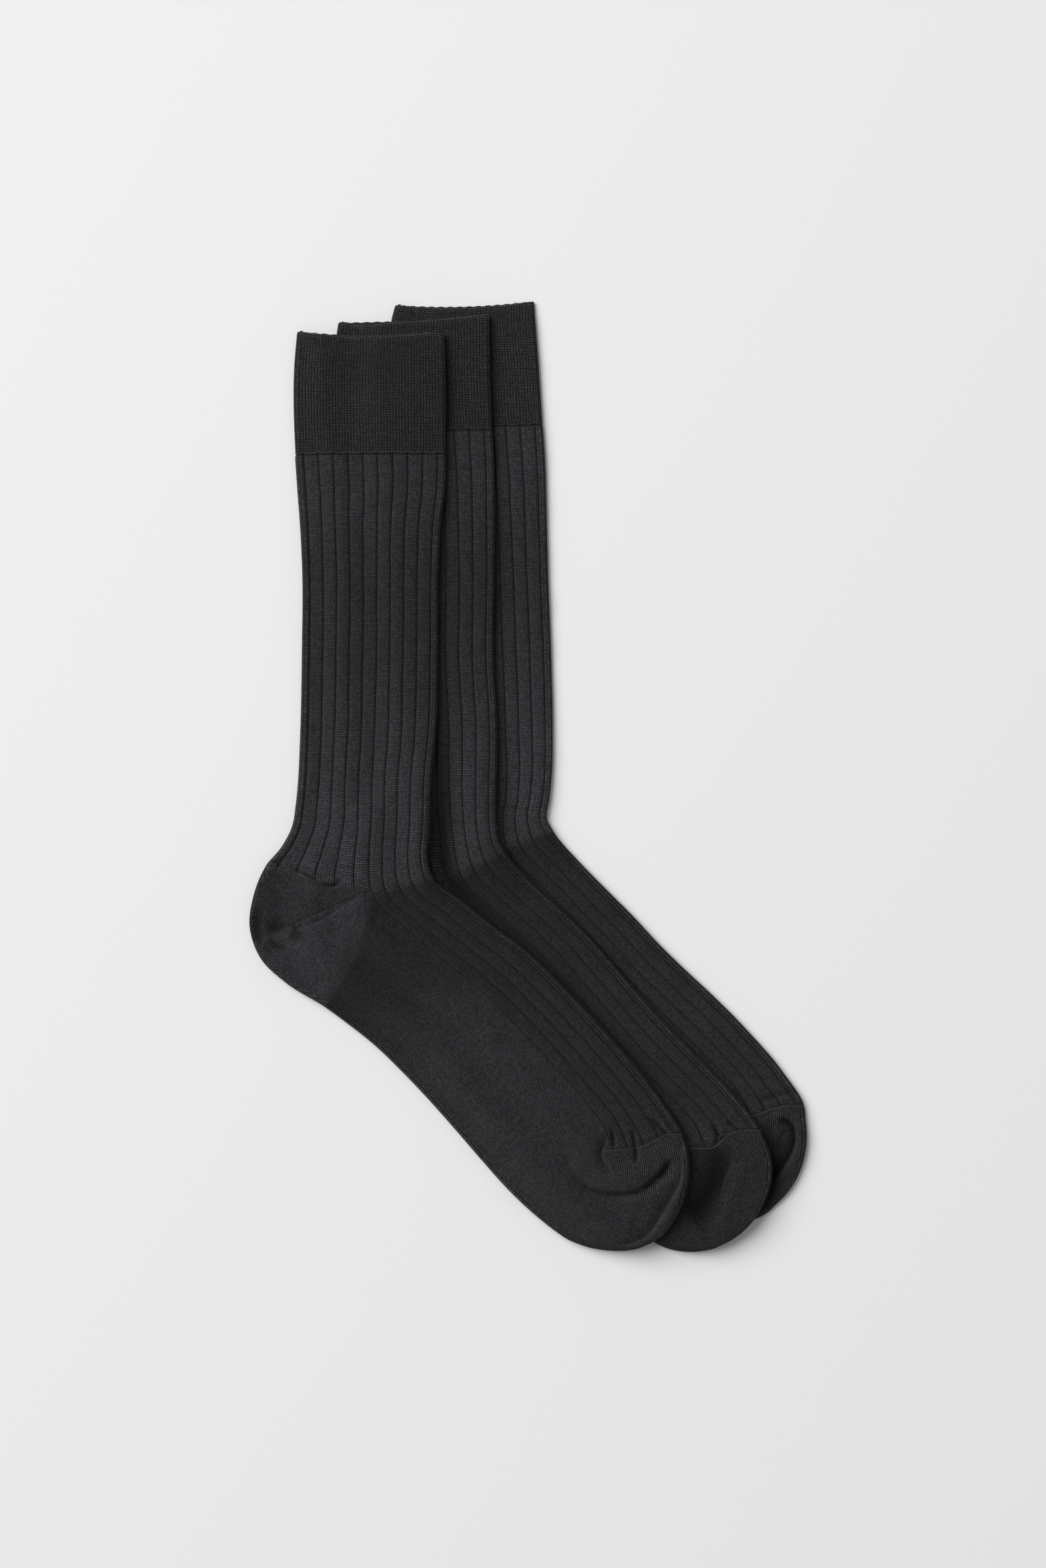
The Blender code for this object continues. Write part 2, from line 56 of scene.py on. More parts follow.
MARKS = ("ribbed", "shade", "holes")  # wide rib or plain, the colour's share with the painted light and shade, distance from holes
BACKWARD = slice(None, None, -1)
Array = np.ndarray
Marks = tuple[Array, Array, Array]
Measure = Callable[[Array], Array]
Row = tuple[float, ...]
Node, Socket, Tree = bpy.types.Node, bpy.types.NodeSocket, bpy.types.NodeTree


# ---------------- plan of the socks

HEIGHTS = (  # Y, and a lying sock's height there
    (-240.0, 4.6), (-195.0, 5.2), (-160.0, 4.3), (-120.0, 4.0), (-75.0, 4.6), (-20.0, 3.9),
    (150.0, 3.8), (160.0, 4.0), (240.0, 4.0),
)
FOOT_SHARES = (0.63,) + (0.62,) * 6  # where the gore's line lies on the foot's sections
TOE_SHARES = (0.10, 0.25, 0.40, 0.55, 0.69, 0.81, 0.91, 1.00)  # and from the toe's seam to its tip
SEAM_END = (-37.7, -7.2)  # the toe seam's inner end, from its end at the instep
BEFORE_SEAM_END = (-29.6, -16.0)  # the gore's line one section before it
SEAM_PARTS = 5.0  # the toe's seam is drawn in fifths of its length
FIRST_GROOVE = -0.892  # place of the first groove, from -1 at the back edge
GROOVE_PITCH = 0.2  # and the step from one to the next
GROOVES = 22  # all round a sock, with both ends
STACK_GAP = 0.6  # clear space between a sock and the one on it
RIB_RISE = 0.5  # the solids' own rib height, which the stack leaves room for
DRAPE_START = 4.5  # a sock keeps its height this far past the one below
DRAPE_RUN = 19.0  # and comes down to the surface over this run
EDGE_ROUND = 2.4  # plan width of the rounding at a fold
PLAIN_LEVEL = 0.6  # height of plain knit over the bottoms of the grooves
NO_HOLES = 9.0  # a distance from holes at which none show
FLAT_SHARE = 0.927  # of a wide section's half, up to the fold's rounding
FINE_RUN = 6.0  # how far from an end rows stand close together
WALES_PER_RIB = 7.0
SOLE_WALES = 48.0  # across half of a sole
RIPPLES = 7  # long waves in a sock's top panel
RIPPLE_HEIGHT = 0.055
FADE = 0.1  # share of a crease's length over which it fades at each end


def eased(share: Array) -> Array:
    """A share from 0 to 1, eased at both ends: 3 s^2 - 2 s^3."""
    share = np.clip(share, 0.0, 1.0)
    return share * share * (3.0 - 2.0 * share)


def bell(away: Array, width: float = 1.0) -> Array:
    """A bell: e to the power of minus the square of a distance over its width."""
    return np.exp(-(away / width) ** 2)


@dataclass
class Curve:
    """A smooth curve through points, as a cubic on each span with the neighbours' mean slope."""

    knots: Array
    points: Array

    def __post_init__(self) -> None:
        """Work out the slope at each knot."""
        self.slopes = np.gradient(self.points, self.knots, axis=0)

    def at(self, place: Array) -> Array:
        """Points at places along the knots.

        Args:
            place: places along the knots, of any shape.

        Returns:
            The points, with one more axis than the places.
        """
        place = np.asarray(place, float)
        index = np.clip(np.searchsorted(self.knots, place, side="right") - 1, 0,
                        len(self.knots) - 2)
        span = (self.knots[index + 1] - self.knots[index])[..., None]
        s = (place - self.knots[index])[..., None] / span
        start, end = self.points[index], self.points[index + 1]
        out, into = self.slopes[index] * span, self.slopes[index + 1] * span
        return (start * (1 + 2 * s) * (1 - s) ** 2 + end * s * s * (3 - 2 * s)
                + out * s * (1 - s) ** 2 - into * s * s * (1 - s))


def lengths_along(points: Array) -> Array:
    """Distance along a line of points, from 0 at the first."""
    return np.concatenate([[0.0], np.cumsum(np.linalg.norm(np.diff(points, axis=0), axis=1))])


def rounded_path(path: tuple[tuple[float, ...], ...], steps: int = 5) -> Array:
    """Points close together on the smooth curve through a path's own points."""
    points = np.array(path, float)
    curve = Curve(np.arange(len(points), dtype=float), points)
    return curve.at(np.linspace(0.0, len(points) - 1.0, steps * (len(points) - 1) + 1))


def nearest(points: Array, path: Array) -> tuple[Array, Array]:
    """Signed distance from a path, and how far along it the nearest point lies.

    The nearest point of each straight span is found by projection, and the least distance kept.

    Args:
        points: plan points, one a row.
        path: the path's points, one a row.

    Returns:
        The distance, positive on the left-hand side going along, and the share of the length.
    """
    start, edge = path[:-1], np.diff(path, axis=0)
    length = np.maximum(np.linalg.norm(edge, axis=1), 1e-9)
    offset = points[:, None, :] - start[None]
    share = np.clip((offset * edge).sum(-1) / length ** 2, 0.0, 1.0)
    away = offset - share[..., None] * edge
    distance = np.hypot(away[..., 0], away[..., 1])
    span = distance.argmin(axis=1)
    row = np.arange(len(points))
    turn = edge[span, 0] * away[row, span, 1] - edge[span, 1] * away[row, span, 0]
    before = np.concatenate([[0.0], np.cumsum(length)])
    along = (before[span] + share[row, span] * length[span]) / before[-1]
    return distance[row, span] * np.where(turn < 0.0, -1.0, 1.0), along


def outside_distance(points: Array, outline: Array) -> Array:
    """Distance from a closed outline, positive outside it and negative inside, by ray counting."""
    closed = np.vstack([outline, outline[:1]])
    distance = np.abs(nearest(points, closed)[0])
    start, end = closed[:-1], closed[1:]
    x, y = points[:, :1], points[:, 1:]
    spans = (start[:, 1] > y) != (end[:, 1] > y)
    rise = np.where(end[:, 1] == start[:, 1], 1.0, end[:, 1] - start[:, 1])
    crossing = start[:, 0] + (y - start[:, 1]) * (end[:, 0] - start[:, 0]) / rise
    inside = (spans & (x < crossing)).sum(axis=1) % 2 == 1
    return np.where(inside, -distance, distance)


def in_chunks(points: Array, measure: Measure, size: int = 20000) -> Array:
    """A measure of plan points on a grid of any shape, worked out some thousands at a time."""
    flat = points.reshape(-1, 2)
    parts = np.concatenate([measure(flat[i:i + size]) for i in range(0, len(flat), size)])
    return parts.reshape(points.shape[:-1] + parts.shape[1:])


class Crease(NamedTuple):
    """A soft trough in the top panel along a path, with painted shade in its bottom; where its depth
    is negative it is a ridge.
    """

    left: float  # width of the side on the left, going along the path
    right: float  # width of the side on the right
    path: tuple[Row, ...]  # x, y and depth
    puff: float = 0.0  # how much the cloth beyond the left side puffs up
    reach: float = 1.0  # how far from the path it puffs up most
    painted_crease_shade: float = 0.62  # painted shade: how much darker its bottom is, where it is 2 mm deep
    spread: float = 1.1  # the painted shade's own half width, at most


@dataclass(frozen=True)
class SockPlan:
    """The tables that one sock is laid out from.

    A row of the cuff, leg, foot or toe is a straight section: x and y of its end at the back or
    the sole, and of its end at the front or the instep.
    """

    name: str
    bulk: float  # its height as a share of the table's
    tone: float  # painted light: how much lighter the whole sock is made, against the shade that the socks on it cast
    toe_painted_light: float  # and its toe's painted light and shade, darker on the lower socks where the socks on them shade their toes
    cuff: tuple[Row, ...]
    leg: tuple[Row, ...]
    gore_shares: Row  # where the gore's line lies on the last sections before the gore
    gore: Row
    heel: tuple[Row, ...]
    foot: tuple[Row, ...]
    toe: tuple[Row, ...]
    seam: Row  # how far the toe's seam lies up from straight, in fifths
    mouth: Row  # dips of the near and far edge, a corner, a dent
    creases: tuple[Crease, ...]


FRONT = SockPlan(
    name="front",
    bulk=1.08,
    tone=1.0,
    toe_painted_light=1.16,
    cuff=(
        (-113.4, 217.9, -41.3, 217.5), (-114.8, 197.5, -40.7, 197.5),
        (-114.1, 158.2, -40.7, 157.9),
    ),
    leg=(
        (-112.8, 138.5, -41.3, 138.5), (-111.8, 125.4, -43.0, 125.4), (-110.5, 99.2, -44.3, 99.2),
        (-110.7, 59.8, -44.6, 59.8), (-111.5, 20.5, -45.6, 20.5), (-112.8, -5.7, -48.0, -5.7),
        (-113.8, -15.2, -48.2, -15.4), (-115.4, -24.8, -48.5, -25.4),
        (-120.3, -34.6, -49.5, -37.9), (-129.2, -45.7, -47.2, -49.3),
    ),
    gore_shares=(0.51, 0.52, 0.53, 0.56),
    gore=(-80.0, -57.2),
    heel=((-134.8, -59.8), (-136.6, -73.9), (-131.5, -89.3), (-118.7, -101.8), (-99.7, -113.6)),
    foot=(
        (-88.5, -121.8, -32.1, -62.5), (-76.1, -131.6, -16.4, -74.9), (-63.0, -144.1, -3.0, -84.8),
        (-49.8, -157.9, 9.8, -96.6), (-36.7, -172.6, 21.3, -108.4), (-23.0, -188.4, 34.8, -122.8),
        (-9.8, -203.1, 48.5, -138.5), (4.6, -216.6, 63.6, -157.5), (15.1, -224.8, 75.1, -176.2),
    ),
    toe=(
        (19.0, -227.4, 77.0, -181.5), (24.3, -229.7, 78.2, -188.7), (30.2, -231.6, 78.0, -195.9),
        (36.4, -232.6, 76.7, -203.1), (42.6, -233.0, 74.8, -209.7), (48.5, -232.6, 72.1, -215.2),
        (53.4, -231.6, 69.2, -220.2), (57.7, -230.0, 66.6, -223.8),
    ),
    seam=(0.0, -0.8, -1.5, -0.3, 2.1, 0.6),
    mouth=(3.4, 2.4, 1.8, 0.0),
    creases=(
        # the toe's smile
        Crease(1.5, 3.2, (
            (19.3, -183.4, 0.3), (20.6, -192.6, 0.9), (27.5, -200.6, 1.4), (37.4, -204.4, 1.9),
            (46.9, -204.2, 2.3), (54.8, -202.5, 2.6), (59.7, -199.2, 3.0), (64.9, -194.6, 3.3),
            (68.2, -190.3, 3.2), (72.1, -186.4, 2.6)), puff=0.9, reach=5.5),
        # inside the toe's outer lip
        Crease(1.3, 2.6, (
            (73.8, -176.2, 0.4), (74.1, -189.3, 1.0), (73.8, -195.6, 1.4), (72.1, -200.5, 1.8),
            (69.2, -205.7, 2.0), (63.9, -215.2, 2.0), (59.7, -222.1, 1.8), (54.8, -226.4, 1.4),
            (48.5, -229.0, 0.9), (40.3, -231.3, 0.3)), puff=0.5, reach=2.6),
        # a soft ridge under the smile
        Crease(2.0, 3.0, (
            (52.1, -205.7, -0.4), (50.2, -214.0, -0.7), (47.5, -225.4, -0.4))),
        # round the seam's inner end
        Crease(1.0, 2.4, (
            (38.4, -175.6, 1.0), (35.7, -183.4, 2.2), (36.4, -188.7, 1.8), (41.0, -194.6, 0.6))),
        # puckers over the seam
        Crease(1.0, 1.2, (
            (40.6, -172.4, 0.6), (41.5, -176.8, 2.6), (42.0, -181.5, 1.6))),
        Crease(1.2, 1.1, (
            (50.8, -172.2, 0.6), (51.6, -178.2, 2.2), (52.6, -184.0, 2.2), (52.2, -190.4, 0.8))),
        Crease(1.4, 1.4, (
            (58.6, -167.0, 0.5), (62.6, -170.0, 2.3), (65.8, -173.4, 2.3), (69.8, -177.6, 0.6))),
        # the dimples in the heel, with painted shade in their bottoms
        Crease(5.2, 5.2, (
            (-128.6, -76.2, 0.3), (-125.2, -75.2, 1.9), (-121.8, -73.8, 1.9),
            (-117.6, -72.2, 0.3)), painted_crease_shade=0.52, spread=3.4),
        Crease(4.8, 4.8, (
            (-116.4, -77.2, 0.8), (-112.6, -78.4, 1.8),
            (-108.6, -78.0, 0.8)), painted_crease_shade=0.60, spread=3.2),
        Crease(3.6, 3.6, (
            (-128.0, -81.0, 0.7), (-123.0, -84.2, 1.8),
            (-117.6, -85.4, 0.6)), painted_crease_shade=0.62, spread=2.4),
        # the hollow inside the back fold, with painted shade in it
        Crease(4.4, 4.4, (
            (-132.4, -64.0, 0.4), (-133.6, -71.0, 1.6), (-133.0, -78.0, 1.9),
            (-130.2, -85.0, 0.8)), painted_crease_shade=0.66, spread=2.6),
        # puckers along the heel's line
        Crease(0.9, 0.9, (
            (-126.4, -42.6, 0.5), (-123.2, -42.6, 1.6),
            (-119.6, -46.0, 0.6)), puff=0.3, reach=2.0, painted_crease_shade=0.9),
        Crease(0.9, 0.9, (
            (-116.6, -45.8, 0.5), (-110.6, -48.0, 1.7), (-105.6, -50.4, 1.6),
            (-102.6, -51.6, 0.4)), puff=0.3, reach=2.0, painted_crease_shade=0.9),
        Crease(0.9, 0.9, (
            (-100.4, -52.4, 0.5), (-96.6, -54.0, 1.7), (-93.6, -53.2, 1.7),
            (-91.6, -49.6, 0.4)), puff=0.3, reach=2.0, painted_crease_shade=0.9),
        # along the heel's gore
        Crease(1.0, 1.0, (
            (-80.7, -58.8, 0.3), (-91.1, -63.8, 0.5), (-99.7, -69.7, 0.6), (-109.8, -73.9, 0.6),
            (-116.7, -75.2, 0.4)), puff=0.3, reach=3.0),
        # the instep's edge, puffed at the bend
        Crease(9.0, 9.0, (
            (-51.0, 40.0, 0.0), (-51.5, 10.7, -2.0), (-52.0, -12.3, -3.8), (-52.5, -35.2, -5.0),
            (-50.5, -48.3, -4.6), (-42.3, -59.2, -3.2), (-30.0, -71.0, -2.2), (-6.0, -89.0, -1.6),
            (16.0, -110.0, -1.2), (44.0, -140.0, -0.8), (66.0, -170.0, -0.2))),
        # the lip round the toe's edge
        Crease(3.0, 4.0, (
            (76.0, -180.0, -0.3), (75.6, -190.0, -1.6), (74.4, -200.0, -2.4), (71.4, -209.0, -2.6),
            (66.6, -218.0, -2.2), (59.0, -226.4, -1.0), (50.0, -230.6, -0.2))),
    ),
)

MIDDLE = SockPlan(
    name="middle",
    bulk=1.0,
    tone=1.07,
    toe_painted_light=0.96,
    cuff=(
        (-93.2, 222.5, -19.3, 226.4), (-94.0, 215.9, -19.2, 218.7), (-94.0, 197.5, -19.0, 197.5),
        (-92.1, 168.7, -18.0, 170.3),
    ),
    leg=(
        (-89.8, 151.6, -17.2, 151.6), (-86.6, 128.7, -17.0, 128.7), (-83.9, 99.2, -17.0, 99.2),
        (-83.6, 59.8, -17.5, 59.8), (-82.3, 20.5, -15.7, 20.5), (-82.0, -5.7, -16.1, -5.7),
        (-82.6, -12.3, -16.2, -12.3), (-84.3, -19.5, -16.3, -19.5), (-87.5, -28.7, -15.4, -29.3),
        (-91.8, -40.8, -12.8, -35.9),
    ),
    gore_shares=(0.51, 0.52, 0.54, 0.57),
    gore=(-42.6, -52.3),
    heel=((-97.4, -54.9), (-99.0, -69.0), (-94.1, -84.4), (-81.3, -96.9), (-62.3, -108.7)),
    foot=(
        (-52.5, -115.2, 1.0, -53.0), (-43.6, -123.4, 16.1, -66.7), (-30.8, -138.5, 29.2, -79.2),
        (-18.4, -154.3, 41.3, -93.0), (-5.2, -170.7, 52.8, -106.4), (8.9, -187.4, 66.6, -121.8),
        (23.9, -202.5, 82.3, -137.9), (41.0, -215.6, 100.0, -156.6), (53.4, -222.5, 113.4, -173.9),
    ),
    toe=(
        (57.7, -226.1, 116.1, -179.8), (63.0, -229.7, 118.4, -186.4),
        (69.2, -232.3, 119.2, -193.3), (75.1, -233.4, 118.4, -200.2),
        (80.7, -233.6, 116.4, -206.7), (85.9, -233.0, 113.8, -212.3),
        (90.5, -232.0, 110.8, -217.2), (95.1, -230.0, 107.2, -221.5),
    ),
    seam=(-1.5, -3.0, -4.0, 0.8, 1.4, -0.5),
    mouth=(2.2, 1.6, 0.4, 1.6),
    creases=(
        # the toe's dish, darkened with painted shadow of the toe on it
        Crease(12.0, 10.0, (
            (92.0, -180.0, 0.6), (92.0, -188.0, 2.2), (91.0, -196.0, 3.2), (88.0, -204.0, 3.2),
            (83.5, -212.0, 2.4), (77.0, -219.0, 0.6)), painted_crease_shade=0.80, spread=7.0),
        # the hollow beside the sock on it, darkened with painted shadow of that sock's edge
        Crease(8.0, 7.0, (
            (-42.0, 60.0, 0.1), (-41.0, 20.0, 0.8), (-41.6, -10.0, 1.5), (-41.6, -35.0, 1.9),
            (-38.6, -50.0, 1.9), (-25.0, -63.0, 1.2), (-10.0, -76.0, 0.8), (20.0, -103.0, 0.6),
            (52.0, -138.0, 0.4), (76.0, -168.0, 0.2)), painted_crease_shade=0.76, spread=4.2),
        # and the lip round it
        Crease(4.0, 3.0, (
            (108.9, -184.7, -0.4), (103.7, -193.2, -0.9), (100.4, -203.1, -1.0),
            (97.4, -213.0, -1.0), (92.5, -221.5, -0.8), (85.6, -227.0, -0.3))),
        # a fold beside the lip
        Crease(1.0, 2.2, (
            (99.9, -187.5, 0.5), (96.6, -194.5, 1.3), (94.0, -202.5, 1.0),
            (93.0, -209.0, 0.3)), puff=0.3, reach=3.0),
        # puckers over the seam
        Crease(1.2, 1.2, (
            (91.8, -170.0, 0.3), (92.5, -175.3, 1.6), (91.8, -181.8, 1.2))),
        Crease(1.3, 1.3, (
            (97.0, -169.0, 0.4), (100.0, -171.4, 1.5), (104.2, -173.9, 1.0))),
        # the dimple in the heel
        Crease(2.4, 2.4, (
            (-80.0, -67.0, 0.3), (-86.5, -70.0, 1.1), (-85.5, -79.0, 0.9))),
        # the instep's edge, puffed at the bend
        Crease(9.0, 9.0, (
            (-21.0, 46.0, 0.0), (-21.5, 20.5, -1.2), (-22.0, -3.0, -2.4), (-22.0, -22.0, -3.0),
            (-19.5, -36.0, -2.6), (-9.5, -48.0, -1.4), (0.0, -58.0, -0.2))),
    ),
)

BACK = SockPlan(
    name="back",
    bulk=0.78,
    tone=1.2,
    toe_painted_light=0.95,
    cuff=(
        (-65.3, 231.0, 2.6, 233.0), (-67.1, 223.0, 3.1, 224.5), (-66.4, 204.1, 4.6, 204.1),
        (-65.6, 171.3, 6.6, 173.0),
    ),
    leg=(
        (-63.0, 151.6, 7.9, 151.6), (-60.0, 128.7, 8.5, 128.7), (-57.4, 99.2, 9.2, 99.2),
        (-55.7, 59.8, 10.7, 59.8), (-54.8, 23.8, 11.5, 20.5), (-54.4, 0.8, 11.1, 0.8),
        (-57.0, -9.7, 9.8, -12.3), (-63.0, -16.9, 8.5, -19.5), (-70.5, -25.4, 11.1, -26.4),
    ),
    gore_shares=(0.51, 0.53, 0.55, 0.58),
    gore=(-21.3, -36.9),
    heel=((-76.1, -39.5), (-77.7, -53.6), (-72.8, -69.0), (-60.0, -81.5), (-41.0, -93.3)),
    foot=(
        (-32.1, -101.8, 24.3, -42.5), (-20.7, -114.3, 39.0, -57.5), (-8.5, -129.3, 51.5, -70.0),
        (4.3, -144.8, 63.9, -83.4), (18.4, -159.8, 76.4, -95.6), (33.8, -175.2, 91.5, -109.7),
        (48.9, -190.3, 107.2, -125.7), (64.9, -204.1, 123.9, -145.1),
        (75.1, -211.6, 135.1, -163.1),
    ),
    toe=(
        (79.7, -215.2, 135.9, -169.7), (84.6, -218.2, 136.4, -176.2),
        (89.8, -220.2, 136.1, -182.8), (95.1, -221.1, 134.8, -189.3),
        (99.7, -221.5, 132.5, -195.9), (103.6, -221.1, 129.5, -201.5),
        (107.5, -219.8, 125.6, -206.7), (111.5, -217.9, 120.7, -211.6),
    ),
    seam=(0.0, 0.2, 0.6, 2.0, 2.1, 0.3),
    mouth=(2.6, 1.7, 0.2, 0.0),
    creases=(
        # the toe's fold, with painted shade in its bottom
        Crease(1.2, 6.5, (
            (121.3, -170.7, 0.9), (125.9, -169.3, 2.0), (129.2, -171.3, 2.8), (130.7, -176.6, 3.1),
            (129.5, -183.8, 3.0), (125.2, -191.3, 2.4),
            (118.7, -200.5, 1.6)), puff=1.0, reach=3.0, painted_crease_shade=0.86, spread=6.0),
        # the toe's hollow inside it, with painted shade in it
        Crease(8.0, 8.0, (
            (115.5, -169.0, 0.4), (120.0, -180.0, 1.6), (121.0, -193.0, 2.0), (117.5, -205.0, 1.8),
            (112.5, -214.0, 0.5)), painted_crease_shade=0.62, spread=4.4),
        # a wrinkle over the seam
        Crease(1.3, 1.3, (
            (112.4, -161.8, 0.4), (116.4, -159.2, 1.4), (121.6, -157.5, 1.4), (128.9, -155.9, 1.2),
            (133.1, -156.6, 0.4))),
        # the dimple in the heel
        Crease(2.4, 2.4, (
            (-58.0, -47.0, 0.3), (-65.0, -51.0, 1.1), (-63.5, -60.0, 0.9))),
        # the instep's edge, puffed at the bend
        Crease(9.0, 9.0, (
            (6.0, 40.0, 0.0), (5.0, 10.0, -0.8), (3.5, -12.0, -1.2), (6.0, -27.0, -1.0),
            (17.0, -38.0, -0.2))),
    ),
)

STACK = (BACK, MIDDLE, FRONT)  # from the surface up


def on_sections(rows: Array, shares: Row) -> Array:
    """Points at shares of the way along straight sections, one on each."""
    return rows[:, :2] + np.array(shares)[:, None] * (rows[:, 2:] - rows[:, :2])


class Lay:
    """How one sock lies: its smooth edges in plan, and the height of its skin anywhere."""

    def __init__(self, plan: SockPlan, below: list["Lay"], seed: int) -> None:
        """Work out the curves of the back edge, the gore's line and the instep's edge.

        Args:
            plan: the sock's tables.
            below: the socks that it lies on.
            seed: what its own ripples are drawn from.
        """
        self.plan = plan
        self.below = below
        upper, foot, toe = (np.array(rows) for rows in (plan.cuff + plan.leg, plan.foot, plan.toe))
        shares = np.full(len(upper) - 1, 0.5)
        shares[-len(plan.gore_shares):] = plan.gore_shares
        seam_side = foot[-1, 2:] + SEAM_END
        to_tip = on_sections(toe[-1:], (0.5,)) - seam_side
        sides = np.vstack([
            on_sections(upper[:-1], shares), plan.gore, on_sections(foot[:-2], FOOT_SHARES),
            foot[-2, 2:] + BEFORE_SEAM_END, seam_side,
            seam_side + np.array(TOE_SHARES)[:, None] * to_tip])
        fronts = np.vstack([upper, foot, toe])[:, 2:]
        backs = np.vstack([upper[:, :2], plan.heel, foot[:, :2], toe[:, :2]])
        self.outline = np.vstack([backs, fronts[::-1]])

        along, knots = lengths_along(0.5 * (sides + fronts)), lengths_along(backs)
        self.front, self.side = Curve(along, fronts), Curve(along, sides)
        self.back = Curve(knots, backs)
        ankle = len(upper) - 1
        heel_end = ankle + len(plan.heel)
        self.seam_at, self.ankle_at = along[len(plan.cuff) - 1], along[ankle]
        self.toe_at, self.end_at = along[ankle + len(foot)], along[-1]
        self.heel_from, self.heel_to = knots[ankle], knots[heel_end]
        self.leg_backs = (along[:ankle + 1], knots[:ankle + 1])
        self.foot_backs = (along[ankle:], knots[heel_end:])
        self.creases = [(crease, rounded_path(crease.path)) for crease in plan.creases]
        self.seam = Curve(np.arange(SEAM_PARTS + 1.0), np.array(plan.seam)[:, None])

        draw = np.random.default_rng(seed)
        self.wobble_phase = draw.uniform(0.0, math.tau, (2, GROOVES))
        turn = draw.uniform(0.0, math.tau, RIPPLES)
        wave = draw.uniform(19.0, 62.0, RIPPLES)
        self.ripple_wave = math.tau * np.stack([np.cos(turn), np.sin(turn)]) / wave
        self.ripple_phase = draw.uniform(0.0, math.tau, RIPPLES)

    def back_of_leg(self, place: Array) -> Array:
        """The back edge of the welt and the leg, at places along the sock."""
        return self.back.at(np.interp(place, *self.leg_backs))

    def sole_of_foot(self, place: Array) -> Array:
        """The sole's edge of the foot and the toe, at places along the sock."""
        return self.back.at(np.interp(place, *self.foot_backs))

    def thickness(self, points: Array) -> Array:
        """Height of the sock itself at plan points, eased between the table's places."""
        places, heights = np.array(HEIGHTS).T
        index = np.clip(np.searchsorted(places, points[:, 1]) - 1, 0, len(places) - 2)
        share = (points[:, 1] - places[index]) / (places[index + 1] - places[index])
        own = heights[index] + eased(share) * (heights[index + 1] - heights[index])
        return self.plan.bulk * own

    def support(self, points: Array) -> Array:
        """Height of what the sock lies on: for each sock below, a step that eases down past it."""
        total = np.zeros(len(points))
        for lay in self.below:
            past = (outside_distance(points, lay.outline) - DRAPE_START) / DRAPE_RUN
            total += (lay.thickness(points) + RIB_RISE + STACK_GAP) * (1.0 - eased(past))
        return total

    def relief(self, points: Array) -> Array:
        """Height of the creases and ripples on the top panel, and the painted shade in a crease's
        bottom.

        A crease is minus its depth times a bell of the distance, with a width of its own on each
        side.  The puff beyond its left side is x exp((1 - x^2)/2), where x is the distance over
        the reach.  Both fade at the path's ends.  The ripples are a sum of long sine waves.

        Args:
            points: plan points, one a row.

        Returns:
            A row for each point: the height, and the painted shade from 1 down.
        """
        total = RIPPLE_HEIGHT * np.sin(points @ self.ripple_wave + self.ripple_phase).sum(axis=1)
        shade = np.ones(len(points))
        for crease, path in self.creases:
            line, depths = path[:, :2], path[:, 2]
            spread = 2.8 * max(crease.left, crease.right, crease.reach)
            close = np.all((points > line.min(axis=0) - spread)
                           & (points < line.max(axis=0) + spread), axis=1)
            if not close.any():
                continue
            distance, along = nearest(points[close], line)
            length = lengths_along(line)
            depth = np.interp(along, length / length[-1], depths)
            fade = eased(np.minimum(along, 1.0 - along) / FADE)
            width = np.where(distance > 0.0, crease.left, crease.right)
            beyond = np.maximum(distance, 0.0) / crease.reach
            total[close] += fade * (crease.puff * beyond * np.exp(0.5 * (1.0 - beyond ** 2))
                                    - depth * bell(distance, width))
            # painted shade: the colour darkens in a crease's bottom, where shade falls
            bottom = bell(distance, np.minimum(0.55 * width, crease.spread))
            shade[close] *= 1.0 - crease.painted_crease_shade * fade * np.clip(depth / 2.0, 0.0, 1.0) * bottom
        return np.stack([total, shade], axis=1)

    def seam_wave(self, ring: Array, place: Array) -> Array:
        """How far the cloth is drawn up where the toe's seam waves, as a bell along the sock."""
        wave = self.seam.at(np.clip(ring, 0.0, 1.0)[..., None] * SEAM_PARTS)[..., 0, 0]
        fade = eased((ring + 0.1) / 0.1) * eased((1.1 - ring) / 0.1)
        return wave * fade * bell(place - self.toe_at, 6.5)[:, None]

    def wobble(self, place: Array, ring: Array) -> Array:
        """Sideways wander of the ribs, as two sine waves along the sock, blended between grooves.

        Args:
            place: places along the sock, one a row.
            ring: places round the sock, one a column or a full grid.

        Returns:
            The wander as a share of the half width, for each row and column.
        """
        long_wave = np.sin(place[:, None] / 9.5 + self.wobble_phase[0])
        short_wave = np.sin(place[:, None] / 3.7 + self.wobble_phase[1])
        grooves = 0.0035 * long_wave + 0.002 * short_wave
        groove = np.broadcast_to((ring - FIRST_GROOVE) / GROOVE_PITCH + 1.0,
                                 (len(place), ring.shape[-1]))
        index = np.clip(np.floor(groove).astype(int), 0, GROOVES - 2)
        share = groove - index
        rows = np.arange(len(place))[:, None]
        return grooves[rows, index] * (1.0 - share) + grooves[rows, index + 1] * share


# ---------------- skins on a grid

UP = 0.5 * math.pi  # a column's angle on the top panel; under it, minus this
BEND = UP * (1.0 - 2.0 * np.arange(1, 10) / 10.0)  # and those of nine columns round a fold
UNDER = np.linspace(0.0, 1.0, 22)  # shares of an underside's columns


